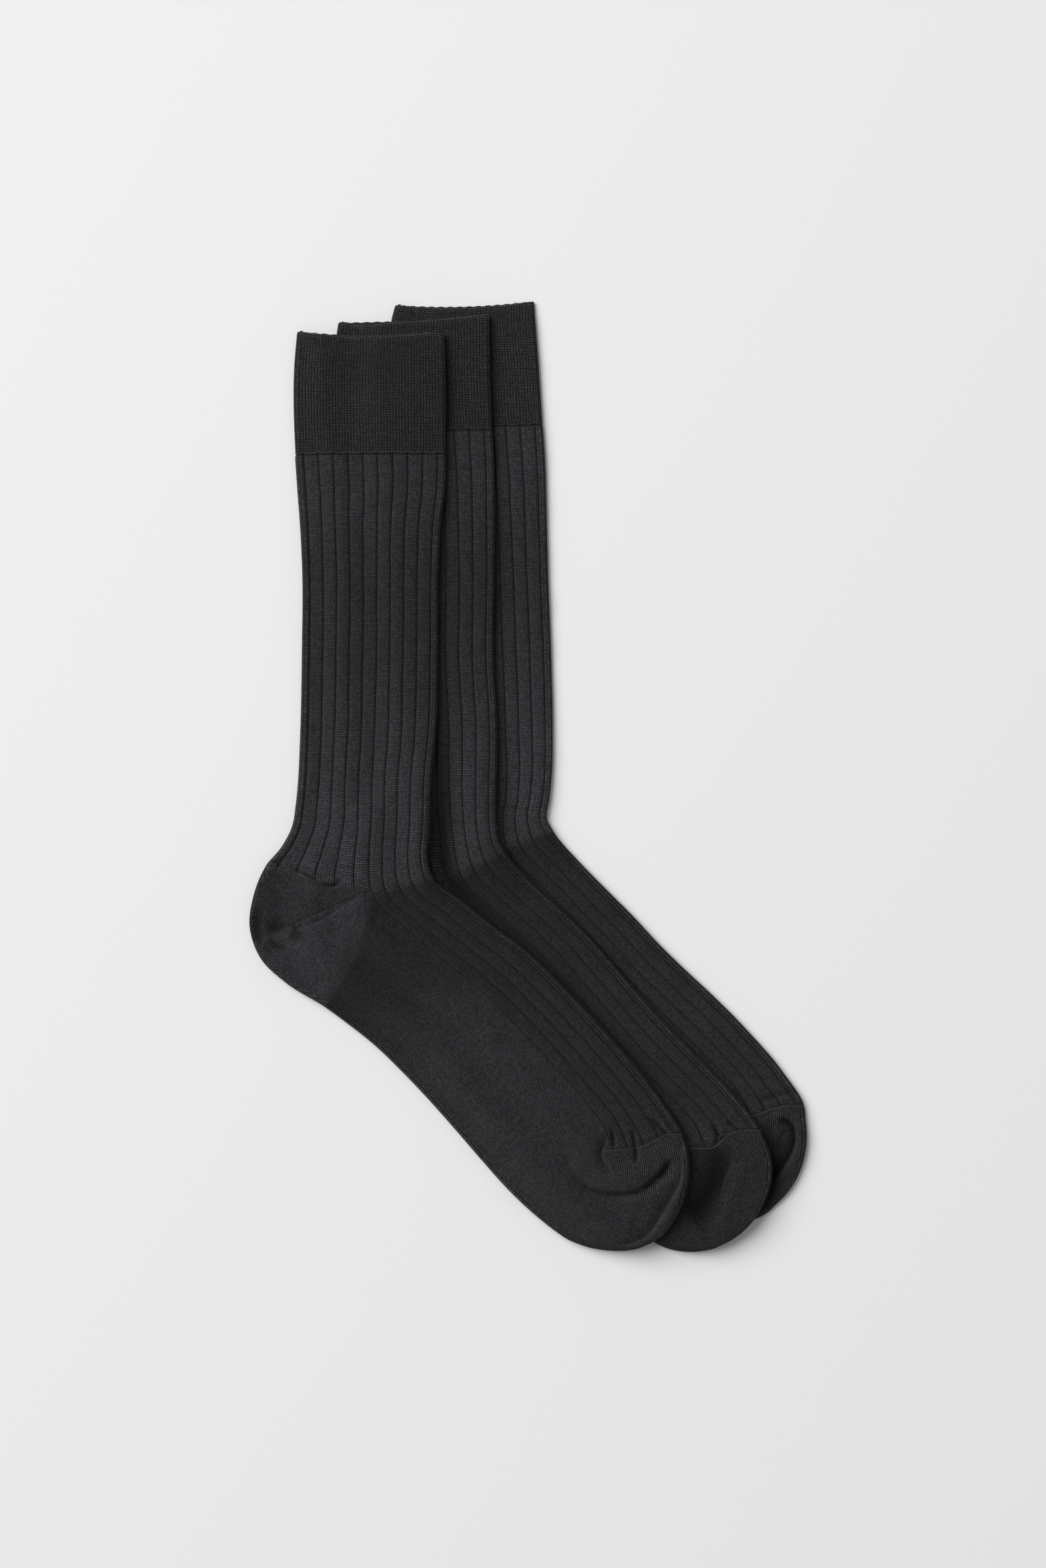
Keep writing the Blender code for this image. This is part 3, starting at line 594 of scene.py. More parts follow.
class Ring(NamedTuple):
    """The columns of a skin, going round the sock from the back fold over the top.

    A column on a panel has a share of the way from the gore's line to the fold's rounding, and one
    in a fold's rounding has a share of 1 and an angle between a right angle up and one down.
    """

    edge: Array  # -1 toward the back fold, 1 toward the front one
    share: Array
    angle: Array
    lap: Array  # added to the ring coordinate
    closed: bool

    @classmethod
    def of(cls, closed: bool, *parts: tuple[float, Array, Array, float]) -> "Ring":
        """A ring of parts one after another, each with its edge, shares, angles and lap."""
        return cls(*[np.concatenate([np.broadcast_to(part[i], len(part[1])) for part in parts])
                     for i in range(4)], closed)

    @classmethod
    def whole(cls, back: Array, front: Array, under: Array = UNDER) -> "Ring":
        """A closed ring.

        Args:
            back: growing shares of the top panel's columns toward the back.
            front: growing shares of the top panel's columns toward the front.
            under: growing shares of the bottom panel's columns, for both sides.

        Returns:
            The ring's columns in order.
        """
        fold = np.ones(len(BEND))
        return cls.of(True, (-1.0, back[::-1], UP, -4.0), (1.0, front, UP, 0.0),
                      (1.0, fold, BEND, 0.0), (1.0, under[::-1], -UP, 0.0),
                      (-1.0, under[1:], -UP, 0.0), (-1.0, fold, BEND[::-1], 0.0))

    @classmethod
    def behind(cls, shares: Array) -> "Ring":
        """An open ring, from the gore under the heel round the back to the gore on top."""
        return cls.of(False, (-1.0, shares, -UP, 0.0), (-1.0, np.ones(len(BEND)), BEND[::-1], 0.0),
                      (-1.0, shares[::-1], UP, 0.0))

    def coordinate(self, rounding: Array) -> Array:
        """The place round the sock: -1 at the back fold, 0 at the gore, 1 at the front fold.

        It goes on to 2 at the gore underneath and 3 at the back fold again.

        Args:
            rounding: the fold's rounding as a share of the half width, for each row and column.

        Returns:
            The coordinate for each row and column.
        """
        turn = self.angle / UP
        from_fold = (1.0 - self.share) * (1.0 - rounding) + rounding * np.abs(turn)
        away = np.sign(turn) * from_fold
        return np.where(self.edge > 0, 1.0 - away, 3.0 + away) + self.lap


class Skin(NamedTuple):
    """One side of a wall of cloth, a row for each place along the sock."""

    points: Array  # rows x columns x 3, in millimetres
    knit: Array  # rows x columns (and one more if closed) x 2
    marks: Array  # rows x columns x 3, in the order of MARKS
    around: Array  # rows x columns, the ring coordinate

    def rows(self, order: slice) -> "Skin":
        """The same skin with some of its rows, or with all of them in another order."""
        return Skin(*[array[order] for array in self])


class Cut(NamedTuple):
    """What a piece of cloth measures flat, opened out, in millimetres."""

    width: float
    length: float
    area: float


class Rows(NamedTuple):
    """Sections of a sock: plan points of the back edge, the gore's line and the front edge."""

    back: Array
    side: Array
    front: Array
    place: Array  # distance along the sock
    pinch: Array  # height as a share of the sock's own

    def cut(self, fullness: float = 1.0) -> Cut:
        """The cloth's own flat size: its girth at the widest, its length, and both panels' area.

        The fullness is how much more cloth there is than the plan shows, taken up in folds.
        """
        girth = 2.0 * (np.linalg.norm(self.back - self.side, axis=1)
                       + np.linalg.norm(self.front - self.side, axis=1))
        x, y = np.vstack([self.back, self.front[::-1]]).T
        area = fullness * abs((x * np.roll(y, -1) - np.roll(x, -1) * y).sum())
        width = float(girth.max())
        return Cut(width, max(float(self.place[-1] - self.place[0]), area / width), float(area))


class Cloth:
    """What all the pieces of knitted cloth share: the skin over given sections."""

    wall: float = 1.0  # the cloth's thickness
    course: float = 0.9  # height of a course of stitches
    wander: float = 1.0  # how much the ribs wander
    thinnest: float = 0.02  # least height left of a pinched sock
    pressed: float = 2.1  # and of one with a crease, in walls
    opposite: float = 0.4  # how far the underside bulges up under a crease, as a share
    lies_low: bool = False  # whether a pinched part lies down or stays at mid height

    def rise(self, ring: Array, half: Array, place: Array) -> Array:
        """Height of the cloth over its lowest level; plain cloth is level with the ribs' mean."""
        return np.full_like(ring, PLAIN_LEVEL)

    def marks(self, ring: Array, rows: Rows) -> Marks:
        """How ribbed the cloth is, its share of the colour with painted light and shade, and the
        distance from a line of holes.
        """
        return np.zeros_like(ring), np.ones_like(ring), np.full_like(ring, NO_HOLES)

    def wales(self, ring: Array, half: Array) -> Array:
        """Wales counted round the sock from the first groove."""
        return WALES_PER_RIB * (ring - FIRST_GROOVE) / GROOVE_PITCH

    def knit(self, ring: Array, half: Array, rows: Rows) -> Array:
        """Places in the knit: wales round the sock, and courses along it."""
        along = np.broadcast_to(rows.place[:, None] / self.course, ring.shape)
        return np.stack([self.wales(ring, half), along], axis=-1)

    def mouth(self, ring: Array, half: Array, rows: Rows) -> Array:
        """How far each point is moved up the sock; only the welt's mouth moves."""
        return np.zeros_like(ring)

    def skin(self, lay: Lay, rows: Rows, ring: Ring, inside: bool = False) -> Skin:
        """The points of one side of the cloth.

        In plan a point lies on its section, its share of the way from the gore's line to the
        fold's rounding, and round the fold by the cosine of its angle.  Its height is the middle
        of the sock plus half the sock's height times the sine of its angle, plus the creases on
        the top panel, with shallow ones opposite them on the bottom panel, plus what the sock lies
        on.  The knit's own relief stands out along the same angle, and fades to nothing
        underneath.  The inner side is the same, a wall's thickness in.

        Args:
            lay: how the sock lies.
            rows: its sections.
            ring: its columns.
            inside: whether this is the inner side.

        Returns:
            The skin.
        """
        wall = self.wall if inside else 0.0
        toward = np.where((ring.edge < 0)[None, :, None], rows.back[:, None], rows.front[:, None])
        reach = toward - rows.side[:, None]
        half = np.maximum(np.hypot(reach[..., 0], reach[..., 1]), 1e-6)
        rounding = np.minimum(EDGE_ROUND / half, 0.5)
        place = ring.share * (1.0 - rounding) + rounding * np.cos(ring.angle)
        around = ring.coordinate(rounding)
        wander = self.wander * (1.0 - place ** 2) * lay.wobble(rows.place, around)
        place = (place + ring.edge * wander) * np.maximum(half - wall, 0.3 * half) / half
        plan = rows.side[:, None] + place[..., None] * reach
        sine, cosine = np.sin(ring.angle), np.cos(ring.angle)
        level = 0.5 * (1.0 + sine)
        pinch = rows.pinch[:, None]
        stand = 0.0 if inside else self.rise(around, half, rows.place) * level * pinch
        plan = plan + (stand * cosine / half)[..., None] * reach
        plan[..., 1] += self.mouth(around, half, rows) + level * lay.seam_wave(around, rows.place)
        height = in_chunks(plan, lay.thickness)
        body = np.maximum(height * pinch - 2.0 * wall, self.thinnest)
        sink = np.minimum(self.pressed * self.wall - height * pinch, 0.0)
        z = 0.5 * height * (pinch if self.lies_low else 1.0) + 0.5 * body * sine
        relief, painted_crease_shade = np.moveaxis(in_chunks(plan, lay.relief), -1, 0)
        drop = np.maximum(pinch * relief, sink)
        trough = -np.minimum(drop, 0.0)
        lift = np.minimum(self.opposite * trough, 0.5 * np.maximum(-sink - trough, 0.0))
        z = z + level * drop + (1.0 - level) * lift + stand * sine + in_chunks(plan, lay.support)
        turned, wide = around, half
        if ring.closed:
            turned = np.hstack([around, around[:, :1] + 4.0])
            wide = np.hstack([half, half[:, :1]])
        ribbed, shade, holes = self.marks(around, rows)
        # painted light of the whole sock, and painted shade in the top panel's creases
        shade = lay.plan.tone * shade * (1.0 + level * (painted_crease_shade - 1.0))
        return Skin(np.concatenate([plan, z[..., None]], axis=-1), self.knit(turned, wide, rows),
                    np.stack([ribbed, shade, holes], axis=-1), around)


def stepped(start: float, end: float, step: float, near_start: float = 0.0,
            near_end: float = 0.0) -> Array:
    """Places at an even spacing, with closer ones for a few millimetres from an end.

    Args:
        start: the first place.
        end: the last place.
        step: the most distance between two.
        near_start: spacing of the closer ones at the start, or 0 for none.
        near_end: spacing of the closer ones at the end, or 0 for none.

    Returns:
        The growing places.
    """
    places = np.linspace(start, end, int(math.ceil((end - start) / step)) + 1)
    if near_start:
        fine = start + near_start * np.arange(0, int(FINE_RUN / near_start))
        places = np.concatenate([fine, places[places > fine[-1] + 0.4 * step]])
    if near_end:
        fine = end - near_end * np.arange(0, int(FINE_RUN / near_end))[::-1]
        places = np.concatenate([places[places < fine[0] - 0.4 * step], fine])
    return places


def sections(lay: Lay, places: Array, back: Measure) -> Rows:
    """Sections at places along a sock, with the back edge that a function gives."""
    ones = np.ones(len(places))
    return Rows(back(places), lay.side.at(places), lay.front.at(places), places, ones)


def joined(*skins: Skin) -> Skin:
    """Skins with the same columns, one after another."""
    return Skin(*[np.concatenate(arrays) for arrays in zip(*skins)])


def rim(outer: Skin, inner: Skin, reach: float, steps: int = 5) -> Skin:
    """A rounded rim between the first rows of two skins: half a turn about their middle.

    Args:
        outer: the outer side.
        inner: the inner side.
        reach: how far the rim stands out up the sock.
        steps: rows of the rim.

    Returns:
        The rim's rows, from the outer side to the inner one.
    """
    turn = math.pi * np.arange(1, steps + 1)[:, None, None] / (steps + 1.0)
    middle = 0.5 * (outer.points[0] + inner.points[0])
    arm = 0.5 * (outer.points[0] - inner.points[0])
    points = middle + arm * np.cos(turn) + np.array([0.0, reach, 0.0]) * np.sin(turn)
    knit = outer.knit[0] - np.arange(1, steps + 1)[:, None, None] * np.array([0.0, 0.35])
    return Skin(points, knit, np.repeat(outer.marks[:1], steps, axis=0),
                np.repeat(outer.around[:1], steps, axis=0))


def grid_faces(index: Array) -> Array:
    """Quads over a grid of numbers, as rows of four."""
    return np.stack([index[:-1, :-1], index[:-1, 1:], index[1:, 1:], index[1:, :-1]],
                    axis=-1).reshape(-1, 4)


@dataclass
class Shell:
    """One closed mesh of cloth from rows that run over its outer side and back inside."""

    skin: Skin
    closed_rows: bool
    closed_columns: bool
    cut: Cut
    seam: Array | None = None  # x, y, z and ring coordinate along its start
    ladder: int = 0  # rows of each side, where the columns are open
    sharp: tuple[int, ...] = ()  # rows whose own edges stay sharp

    def arrays(self) -> tuple[Array, list[Array], list[Array], Array]:
        """The points, the faces, the faces' places in the knit, and the points' row numbers.

        Returns:
            Points as rows of three, lists of faces and of their corners' places, and a row number
            for each point.
        """
        rows, columns = self.skin.points.shape[:2]
        points = self.skin.points.reshape(-1, 3)
        index = np.arange(rows * columns).reshape(rows, columns)
        corner = np.arange(self.skin.knit[..., 0].size).reshape(self.skin.knit.shape[:2])
        places = self.skin.knit.reshape(-1, 2)
        if self.closed_columns:
            index = np.hstack([index, index[:, :1]])
        if self.closed_rows:
            index = np.vstack([index, index[:1]])
            corner = np.vstack([corner, corner[:1]])
        faces, knit = [grid_faces(index)], [places[grid_faces(corner)]]
        if not self.closed_rows:
            for row, order in ((0, 1), (-1, -1)):
                ring = index[row, :-1]
                pole = len(points)
                points = np.vstack([points, points[ring].mean(0)])
                fan = np.stack([np.roll(ring, -1), ring, np.full(len(ring), pole)], axis=1)
                faces.append(fan[:, ::order])
                knit.append(np.repeat(places[corner[row, :1]][None], len(fan), axis=0)
                            * np.ones((1, 3, 1)))
        if not self.closed_columns:
            count = self.ladder
            for column, order in ((0, 1), (-1, -1)):
                outer, inner = index[:count, column], index[count:2 * count, column][::-1]
                faces.append(grid_faces(np.stack([inner, outer], axis=1))[:, ::order])
                line = corner[:count, column]
                knit.append(places[grid_faces(np.stack([line, line], axis=1))])
        row_number = np.concatenate([np.repeat(np.arange(rows), columns),
                                     np.full(len(points) - rows * columns, -1)])
        return points, faces, knit, row_number

    def mesh(self, name: str, centre: Array) -> bpy.types.Mesh:
        """Make the mesh, about the fan's own centre and in metres.

        Args:
            name: the mesh's name.
            centre: the plan point that becomes the origin.

        Returns:
            The mesh, smooth but for its sharp rows, with the knit's UV map and attributes.
        """
        points, faces, knit, row_number = self.arrays()
        place = (points - np.array([centre[0], centre[1], 0.0])) * MM
        if signed_volume(place, faces) < 0.0:
            faces = [face[:, ::-1] for face in faces]
            knit = [corner[:, ::-1] for corner in knit]
        mesh = mesh_of(name, place, faces)
        corners = np.concatenate([corner.reshape(-1, 2) for corner in knit])
        mesh.uv_layers.new(name=UV_NAME).uv.foreach_set("vector", corners.astype(np.float32).ravel())
        marks = self.skin.marks.reshape(-1, 3)
        marks = np.vstack([marks, np.repeat(marks[-1:], len(points) - len(marks), axis=0)])
        for label, values in zip(MARKS, marks.T):
            attribute = mesh.attributes.new(label, "FLOAT", "POINT")
            attribute.data.foreach_set("value", values.astype(np.float32))
        ends = np.zeros(2 * len(mesh.edges), np.int32)
        mesh.edges.foreach_get("vertices", ends)
        ends = row_number[ends.reshape(-1, 2)]
        sharp = (ends[:, 0] == ends[:, 1]) & np.isin(ends[:, 0], self.sharp)
        mesh.attributes.new("sharp_edge", "BOOLEAN", "EDGE").data.foreach_set("value", sharp)
        return mesh


def signed_volume(points: Array, faces: list[Array]) -> float:
    """Volume inside faces that point outwards: the sum of the tetrahedra to the origin."""
    total = 0.0
    for face in faces:
        for last in range(2, face.shape[1]):
            a, b, c = (points[face[:, i]] for i in (0, last - 1, last))
            total += (a * np.cross(b, c)).sum() / 6.0
    return total


def mesh_of(name: str, points: Array, faces: list[Array]) -> bpy.types.Mesh:
    """A smooth mesh from arrays.

    Args:
        name: the mesh's name.
        points: points in metres.
        faces: arrays of faces, each with its own number of corners.

    Returns:
        The mesh.
    """
    mesh = bpy.data.meshes.new(name)
    corners = np.concatenate([face.reshape(-1) for face in faces])
    sizes = np.concatenate([np.full(len(face), face.shape[1]) for face in faces])
    starts = np.concatenate([[0], np.cumsum(sizes)[:-1]])
    mesh.vertices.add(len(points))
    mesh.vertices.foreach_set("co", points.astype(np.float32).ravel())
    mesh.loops.add(len(corners))
    mesh.loops.foreach_set("vertex_index", corners.astype(np.int32))
    mesh.polygons.add(len(sizes))
    mesh.polygons.foreach_set("loop_start", starts.astype(np.int32))
    mesh.update(calc_edges=True)
    mesh.shade_smooth()
    return mesh


# ---------------- finishes

class Weave(Enum):
    """How the yarn is knitted."""

    FINE_RIB = "fine_rib"  # one place is a whole rib across
    JERSEY = "jersey"  # one place is a wale across


class NodeWork:
    """Places nodes in a tree and links them, for short."""

    def __init__(self, tree: Tree) -> None:
        """Work on one tree."""
        self.tree = tree

    def put(self, socket: Socket, value: object) -> None:
        """Link a socket to another node's output, or set its value."""
        if isinstance(value, Socket):
            self.tree.links.new(value, socket)
        else:
            socket.default_value = value

    def add(self, kind: str, *values: object, **settings: object) -> Node:
        """A new node with its settings, and with values put to its first inputs."""
        node = self.tree.nodes.new("ShaderNode" + kind)
        for name, value in settings.items():
            setattr(node, name, value)
        for socket, value in zip(node.inputs, values):
            self.put(socket, value)
        return node

    def fill(self, node: Node, values: dict[str, object]) -> Node:
        """Put values to a node's inputs by their names, and give the node."""
        for name, value in values.items():
            self.put(node.inputs[name], value)
        return node

    def math(self, operation: str, *values: object, clamp: bool = False) -> Socket:
        """One arithmetic step on numbers or sockets."""
        return self.add("Math", *values, operation=operation, use_clamp=clamp).outputs[0]

    def hump(self, value: object, middle: float, width: float) -> Socket:
        """A parabola: 1 at the middle, 0 at the width from it, and below 0 beyond."""
        away = self.math("MULTIPLY", self.math("SUBTRACT", value, middle), 1.0 / width)
        return self.math("SUBTRACT", 1.0, self.math("MULTIPLY", away, away))

    def dipped(self, value: object, middle: float, width: float, depth: Socket) -> Socket:
        """A hump between dips of a given depth: 1 at the middle, and 1 less the depth beyond."""
        node = self.math("MAXIMUM", self.hump(value, middle, width), 0.0)
        return self.math("MULTIPLY_ADD", self.math("SUBTRACT", node, 1.0), depth, 1.0)

    def near(self, value: object, start: float, end: float) -> Socket:
        """A smooth step down: 1 up to the start and 0 from the end."""
        node = self.add("MapRange", value, start, end, interpolation_type="SMOOTHSTEP")
        return self.math("SUBTRACT", 1.0, node.outputs["Result"])

    def vector(self, x: object, y: object) -> Socket:
        """A vector in the plane."""
        return self.add("CombineXYZ", x, y).outputs[0]

    def noise(self, vector: Socket, scale: float, detail: float = 1.0) -> Socket:
        """Soft noise from 0 to 1, with a mean of a half."""
        values = {"Vector": vector, "Scale": scale, "Detail": detail}
        return self.fill(self.add("TexNoise"), values).outputs["Fac"]

    def wavering(self, value: object, noise: Socket, amount: object) -> Socket:
        """A value that soft noise moves up and down by half an amount."""
        return self.math("MULTIPLY_ADD", self.math("SUBTRACT", noise, 0.5), amount, value)

    def group(self, tree: Tree, **values: object) -> Node:
        """A node of a group, with its inputs put in."""
        return self.fill(self.add("Group", node_tree=tree), values)


class Group(NodeWork):
    """A node group under work, whose first input is a place in the knit."""

    def __init__(self, name: str, inputs: tuple[str, ...], outputs: tuple[str, ...]) -> None:
        """Open a group, and take the place apart into wales u and courses v.

        Args:
            name: the group's name.
            inputs: names of the inputs besides Places.
            outputs: names of the outputs.
        """
        super().__init__(bpy.data.node_groups.new(name, "ShaderNodeTree"))
        for side, labels in (("INPUT", ("Places", *inputs)), ("OUTPUT", outputs)):
            for label in labels:
                kind = "NodeSocketVector" if label == "Places" else "NodeSocketFloat"
                self.tree.interface.new_socket(label, in_out=side, socket_type=kind)
        self.given = self.tree.nodes.new("NodeGroupInput").outputs
        self.result = self.tree.nodes.new("NodeGroupOutput")
        self.u, self.v = self.add("SeparateXYZ", self.given["Places"]).outputs[:2]

    def close(self, **values: object) -> Tree:
        """Put values to the outputs, and give the group's tree."""
        self.fill(self.result, values)
        return self.tree

    def close_stitch(self, height: Socket, cell: Socket) -> Tree:
        """Put out a stitch's height and a random number for its cell, and give the tree."""
        noise = self.fill(self.add("TexWhiteNoise", noise_dimensions="2D"), {"Vector": cell})
        return self.close(Height=height, Loop=noise.outputs["Value"])


class Groups:
    """The shader node groups that the finishes share, each built once."""

    def __init__(self) -> None:
        """Build the groups."""
        self.places = self.build_places()
        self.stitches = {Weave.JERSEY: self.build_jersey(), Weave.FINE_RIB: self.build_fine_rib()}
        self.grooves = self.build_grooves()
        self.yarn = self.build_yarn()

    @staticmethod
    def build_places() -> Tree:
        """Places in the knit, moved a part of a stitch by soft noise, as real courses waver."""
        work = Group("uneven_places", (), ("Places",))
        shifted = [work.wavering(axis, work.noise(work.given["Places"], scale, 2.0), amount)
                   for axis, scale, amount in ((work.u, 0.31, 0.75), (work.v, 0.37, 1.1))]
        return work.close(Places=work.vector(*shifted))

    @staticmethod
    def build_jersey() -> Tree:
        """Plain knit: in each wale two slanting legs of yarn that meet in a V.

        Across a wale the height is a parabola of the distance from each leg, and along it one of
        the distance from the course's middle, moved up the more the further from the wale's
        middle.  The furrow and the ladder say how deep the dips between wales and between courses
        are.  The stitch is the product.
        """
        work = Group("jersey_stitches", ("Furrow", "Ladder"), ("Height", "Loop"))
        away = work.math("ABSOLUTE", work.math("SUBTRACT", work.math("FRACT", work.u), 0.5))
        legs = work.dipped(away, 0.14, 0.26, work.given["Furrow"])
        slanted = work.math("MULTIPLY_ADD", away, 0.5, work.v)
        along = work.dipped(work.math("FRACT", slanted), 0.5, 0.5, work.given["Ladder"])
        height = work.math("MULTIPLY", legs, along, clamp=True)
        cell = work.vector(work.math("FLOOR", work.u), work.math("FLOOR", slanted))
        return work.close_stitch(height, cell)

    @staticmethod
    def build_fine_rib() -> Tree:
        """Stretched 1x1 rib: two legs of yarn to a rib, and a bar across each purl course.

        A leg's height and a bar's are parabolas of the distance from their middles, with dips as
        the furrow and the ladder say; the higher of the two shows, and the holes between them
        make a net.
        """
        work = Group("fine_rib_stitches", ("Furrow", "Ladder"), ("Height", "Loop"))
        away = work.math("ABSOLUTE", work.math("SUBTRACT", work.math("FRACT", work.u), 0.5))
        course = work.math("FRACT", work.math("MULTIPLY_ADD", away, 0.5, work.v))
        legs = work.math("MULTIPLY", work.dipped(away, 0.21, 0.18, work.given["Furrow"]),
                         work.dipped(course, 0.5, 0.5, work.given["Ladder"]))
        bars = work.math("MULTIPLY", work.hump(course, 0.5, 0.26), 0.62)
        height = work.math("MAXIMUM", legs, bars, clamp=True)
        cell = work.vector(work.math("FLOOR", work.math("MULTIPLY", work.u, 2.0)),
                           work.math("FLOOR", work.v))
        return work.close_stitch(height, cell)

    @staticmethod
    def build_grooves() -> Tree:
        """The purl wale in each groove, every seventh wale, and the holes along a gore.

        The groove is a smooth step of the distance from its wale, in wales, and each course's bar
        shows in it a little.  The holes are a smooth step of the distance from their line, cut
        into dots by a sine along it.
        """
        work = Group("rib_grooves", ("Ribbed", "Holes"), ("Depth",))
        turn = work.math("FRACT", work.math("MULTIPLY_ADD", work.u, 1.0 / WALES_PER_RIB, 0.5))
        away = work.math("ABSOLUTE", work.math("SUBTRACT", turn, 0.5))
        line = work.near(work.math("MULTIPLY", away, WALES_PER_RIB), 0.0, 0.95)
        bars = work.hump(work.math("FRACT", work.v), 0.5, 0.5)
        line = work.math("MULTIPLY", line, work.math("MULTIPLY_ADD", bars, -0.3, 1.0))
        groove = work.math("MULTIPLY", line, work.given["Ribbed"])
        dots = work.math("SINE", work.math("MULTIPLY", work.u, 3.1))
        holes = work.math("MULTIPLY", work.near(work.given["Holes"], 0.25, 0.7),
                          work.math("MULTIPLY_ADD", dots, 0.5, 0.5))
        return work.close(Depth=work.math("ADD", groove, holes, clamp=True))

    @staticmethod
    def build_yarn() -> Tree:
        """Unevenness of the yarn: soft patches, flecks, streaks of single wales and courses.

        The patches, flecks and fibres are noise on the object's own coordinates, at about 20 mm,
        1.4 mm and 0.2 mm; the streaks are noise on the places in the knit, drawn out one way.
        """
        work = Group("yarn_unevenness", ("Patch", "Fleck", "Streak"), ("Factor", "Fibre"))
        here = work.add("TexCoord").outputs["Object"]
        wales = work.vector(work.u, work.math("MULTIPLY", work.v, 0.07))
        courses = work.vector(work.math("MULTIPLY", work.u, 0.09), work.v)
        factor: object = 1.0
        for source, scale, amount in ((here, 50.0, "Patch"), (here, 700.0, "Fleck"),
                                      (wales, 0.7, "Streak"), (courses, 0.7, "Streak")):
            factor = work.wavering(factor, work.noise(source, scale), work.given[amount])
        return work.close(Factor=factor, Fibre=work.noise(here, 5200.0, 2.0))


def blank_material(name: str, colour: Row) -> tuple[bpy.types.Material, NodeWork, Node]:
    """A new material with its solid colour, the work on its tree, and its shader."""
    material = bpy.data.materials.new(name)
    material.use_nodes = True
    material.diffuse_color = (*colour, 1.0)
    return material, NodeWork(material.node_tree), material.node_tree.nodes["Principled BSDF"]


@dataclass(frozen=True)
class Finish:
    """One kind of charcoal knit."""

    name: str
    colour: Row = (0.0221, 0.0225, 0.0251)  # linear
    weave: Weave = Weave.JERSEY
    roughness: float = 0.92
    stitch_depth: float = 0.40  # millimetres
    contrast: float = 1.82  # how much lighter a stitch is than the gap beside it; the gap is partly an opening and partly painted shade
    gap: float = 0.03  # brightness of a gap, as a share of the colour
    groove_shade_and_hole_dark: float = 0.55  # painted shade in a groove, and how dark the holes are
    furrow: float = 0.60  # how deep the dips between wales are
    ladder: float = 1.00  # and those between courses
    patch: float = 0.22  # how uneven the yarn is in soft patches
    fleck: float = 0.30
    streak: float = 0.40
    loop: float = 0.60  # and from stitch to stitch
    rough_change: float = 0.12  # how uneven its roughness is
    fuzz: float = 0.25  # height of the fibres, in stitches
    groove_depth: float = 0.80  # and depth of a groove or a hole

    def material(self, groups: Groups) -> bpy.types.Material:
        """The knit's material: yarn colour by stitch and gap, with painted shade in the grooves, and
        the stitches as bump.

        Args:
            groups: the shared node groups.

        Returns:
            The material.
        """
        material, work, shader = blank_material(self.name, self.colour)
        flat = work.add("UVMap", uv_map=UV_NAME).outputs[0]
        places = work.group(groups.places, Places=flat).outputs[0]
        stitch = work.group(groups.stitches[self.weave], Places=places,
                            Furrow=self.furrow, Ladder=self.ladder).outputs
        ribbed, shade, holes = (
            work.add("Attribute", attribute_name=label).outputs["Fac"] for label in MARKS)
        depth = work.group(groups.grooves, Places=flat, Ribbed=ribbed, Holes=holes).outputs[0]
        yarn = work.group(groups.yarn, Places=flat, Patch=self.patch, Fleck=self.fleck,
                          Streak=self.streak).outputs
        factor: object = 1.0
        # the shade mark brings in the painted light and shade, and the groove depth the grooves'
        # painted shade
        for part in (shade, yarn["Factor"],
                     work.wavering(1.0, stitch["Loop"], self.loop),
                     work.math("MULTIPLY_ADD", stitch["Height"], self.contrast, self.gap),
                     work.math("MULTIPLY_ADD", depth, -self.groove_shade_and_hole_dark, 1.0)):
            factor = work.math("MULTIPLY", factor, part)
        mix = work.add("Mix", factor, data_type="RGBA", clamp_factor=False)
        work.put(mix.inputs[6], (0.0, 0.0, 0.0, 1.0))
        work.put(mix.inputs[7], (*self.colour, 1.0))
        height = work.math("MULTIPLY_ADD", yarn["Fibre"], self.fuzz, stitch["Height"])
        height = work.math("MULTIPLY_ADD", depth, -self.groove_depth, height)
        bump = work.fill(work.add("Bump"), {
            "Height": height, "Distance": self.stitch_depth * MM, "Strength": 1.0})
        work.fill(shader, {
            "Metallic": 0.0, "Specular IOR Level": 0.14, "Sheen Weight": 0.05,
            "Sheen Roughness": 0.45, "Base Color": mix.outputs[2], "Normal": bump.outputs[0],
            "Roughness": work.wavering(self.roughness, yarn["Fibre"], self.rough_change)})
        return material


@dataclass(frozen=True)
class PlainFinish:
    """One even colour, for the floor and for seam yarn."""

    name: str
    colour: Row
    roughness: float = 1.0

    def material(self) -> bpy.types.Material:
        """The material."""
        material, work, shader = blank_material(self.name, self.colour)
        work.fill(shader, {"Base Color": (*self.colour, 1.0), "Roughness": self.roughness,
                           "Specular IOR Level": 0.0})
        return material


FINISHES = (
    Finish("welt_knit", (0.0199, 0.0200, 0.0224), Weave.FINE_RIB, contrast=2.15, gap=0.0,
           furrow=1.0, ladder=0.8),
    Finish("leg_knit"),
    Finish("heel_knit", contrast=1.50, gap=0.18, furrow=0.72, ladder=0.5),
    Finish("foot_knit", contrast=2.0, gap=0.10, groove_shade_and_hole_dark=0.85, furrow=0.85, ladder=0.75),
    Finish("toe_knit", contrast=1.88, gap=0.06, furrow=0.95, ladder=0.65),
)
FLOOR = PlainFinish("floor_matt", (0.80, 0.785, 0.79))
SEAM_YARN = PlainFinish("seam_yarn", (0.0420, 0.0425, 0.0450), 0.9)


# ---------------- the pieces of a sock

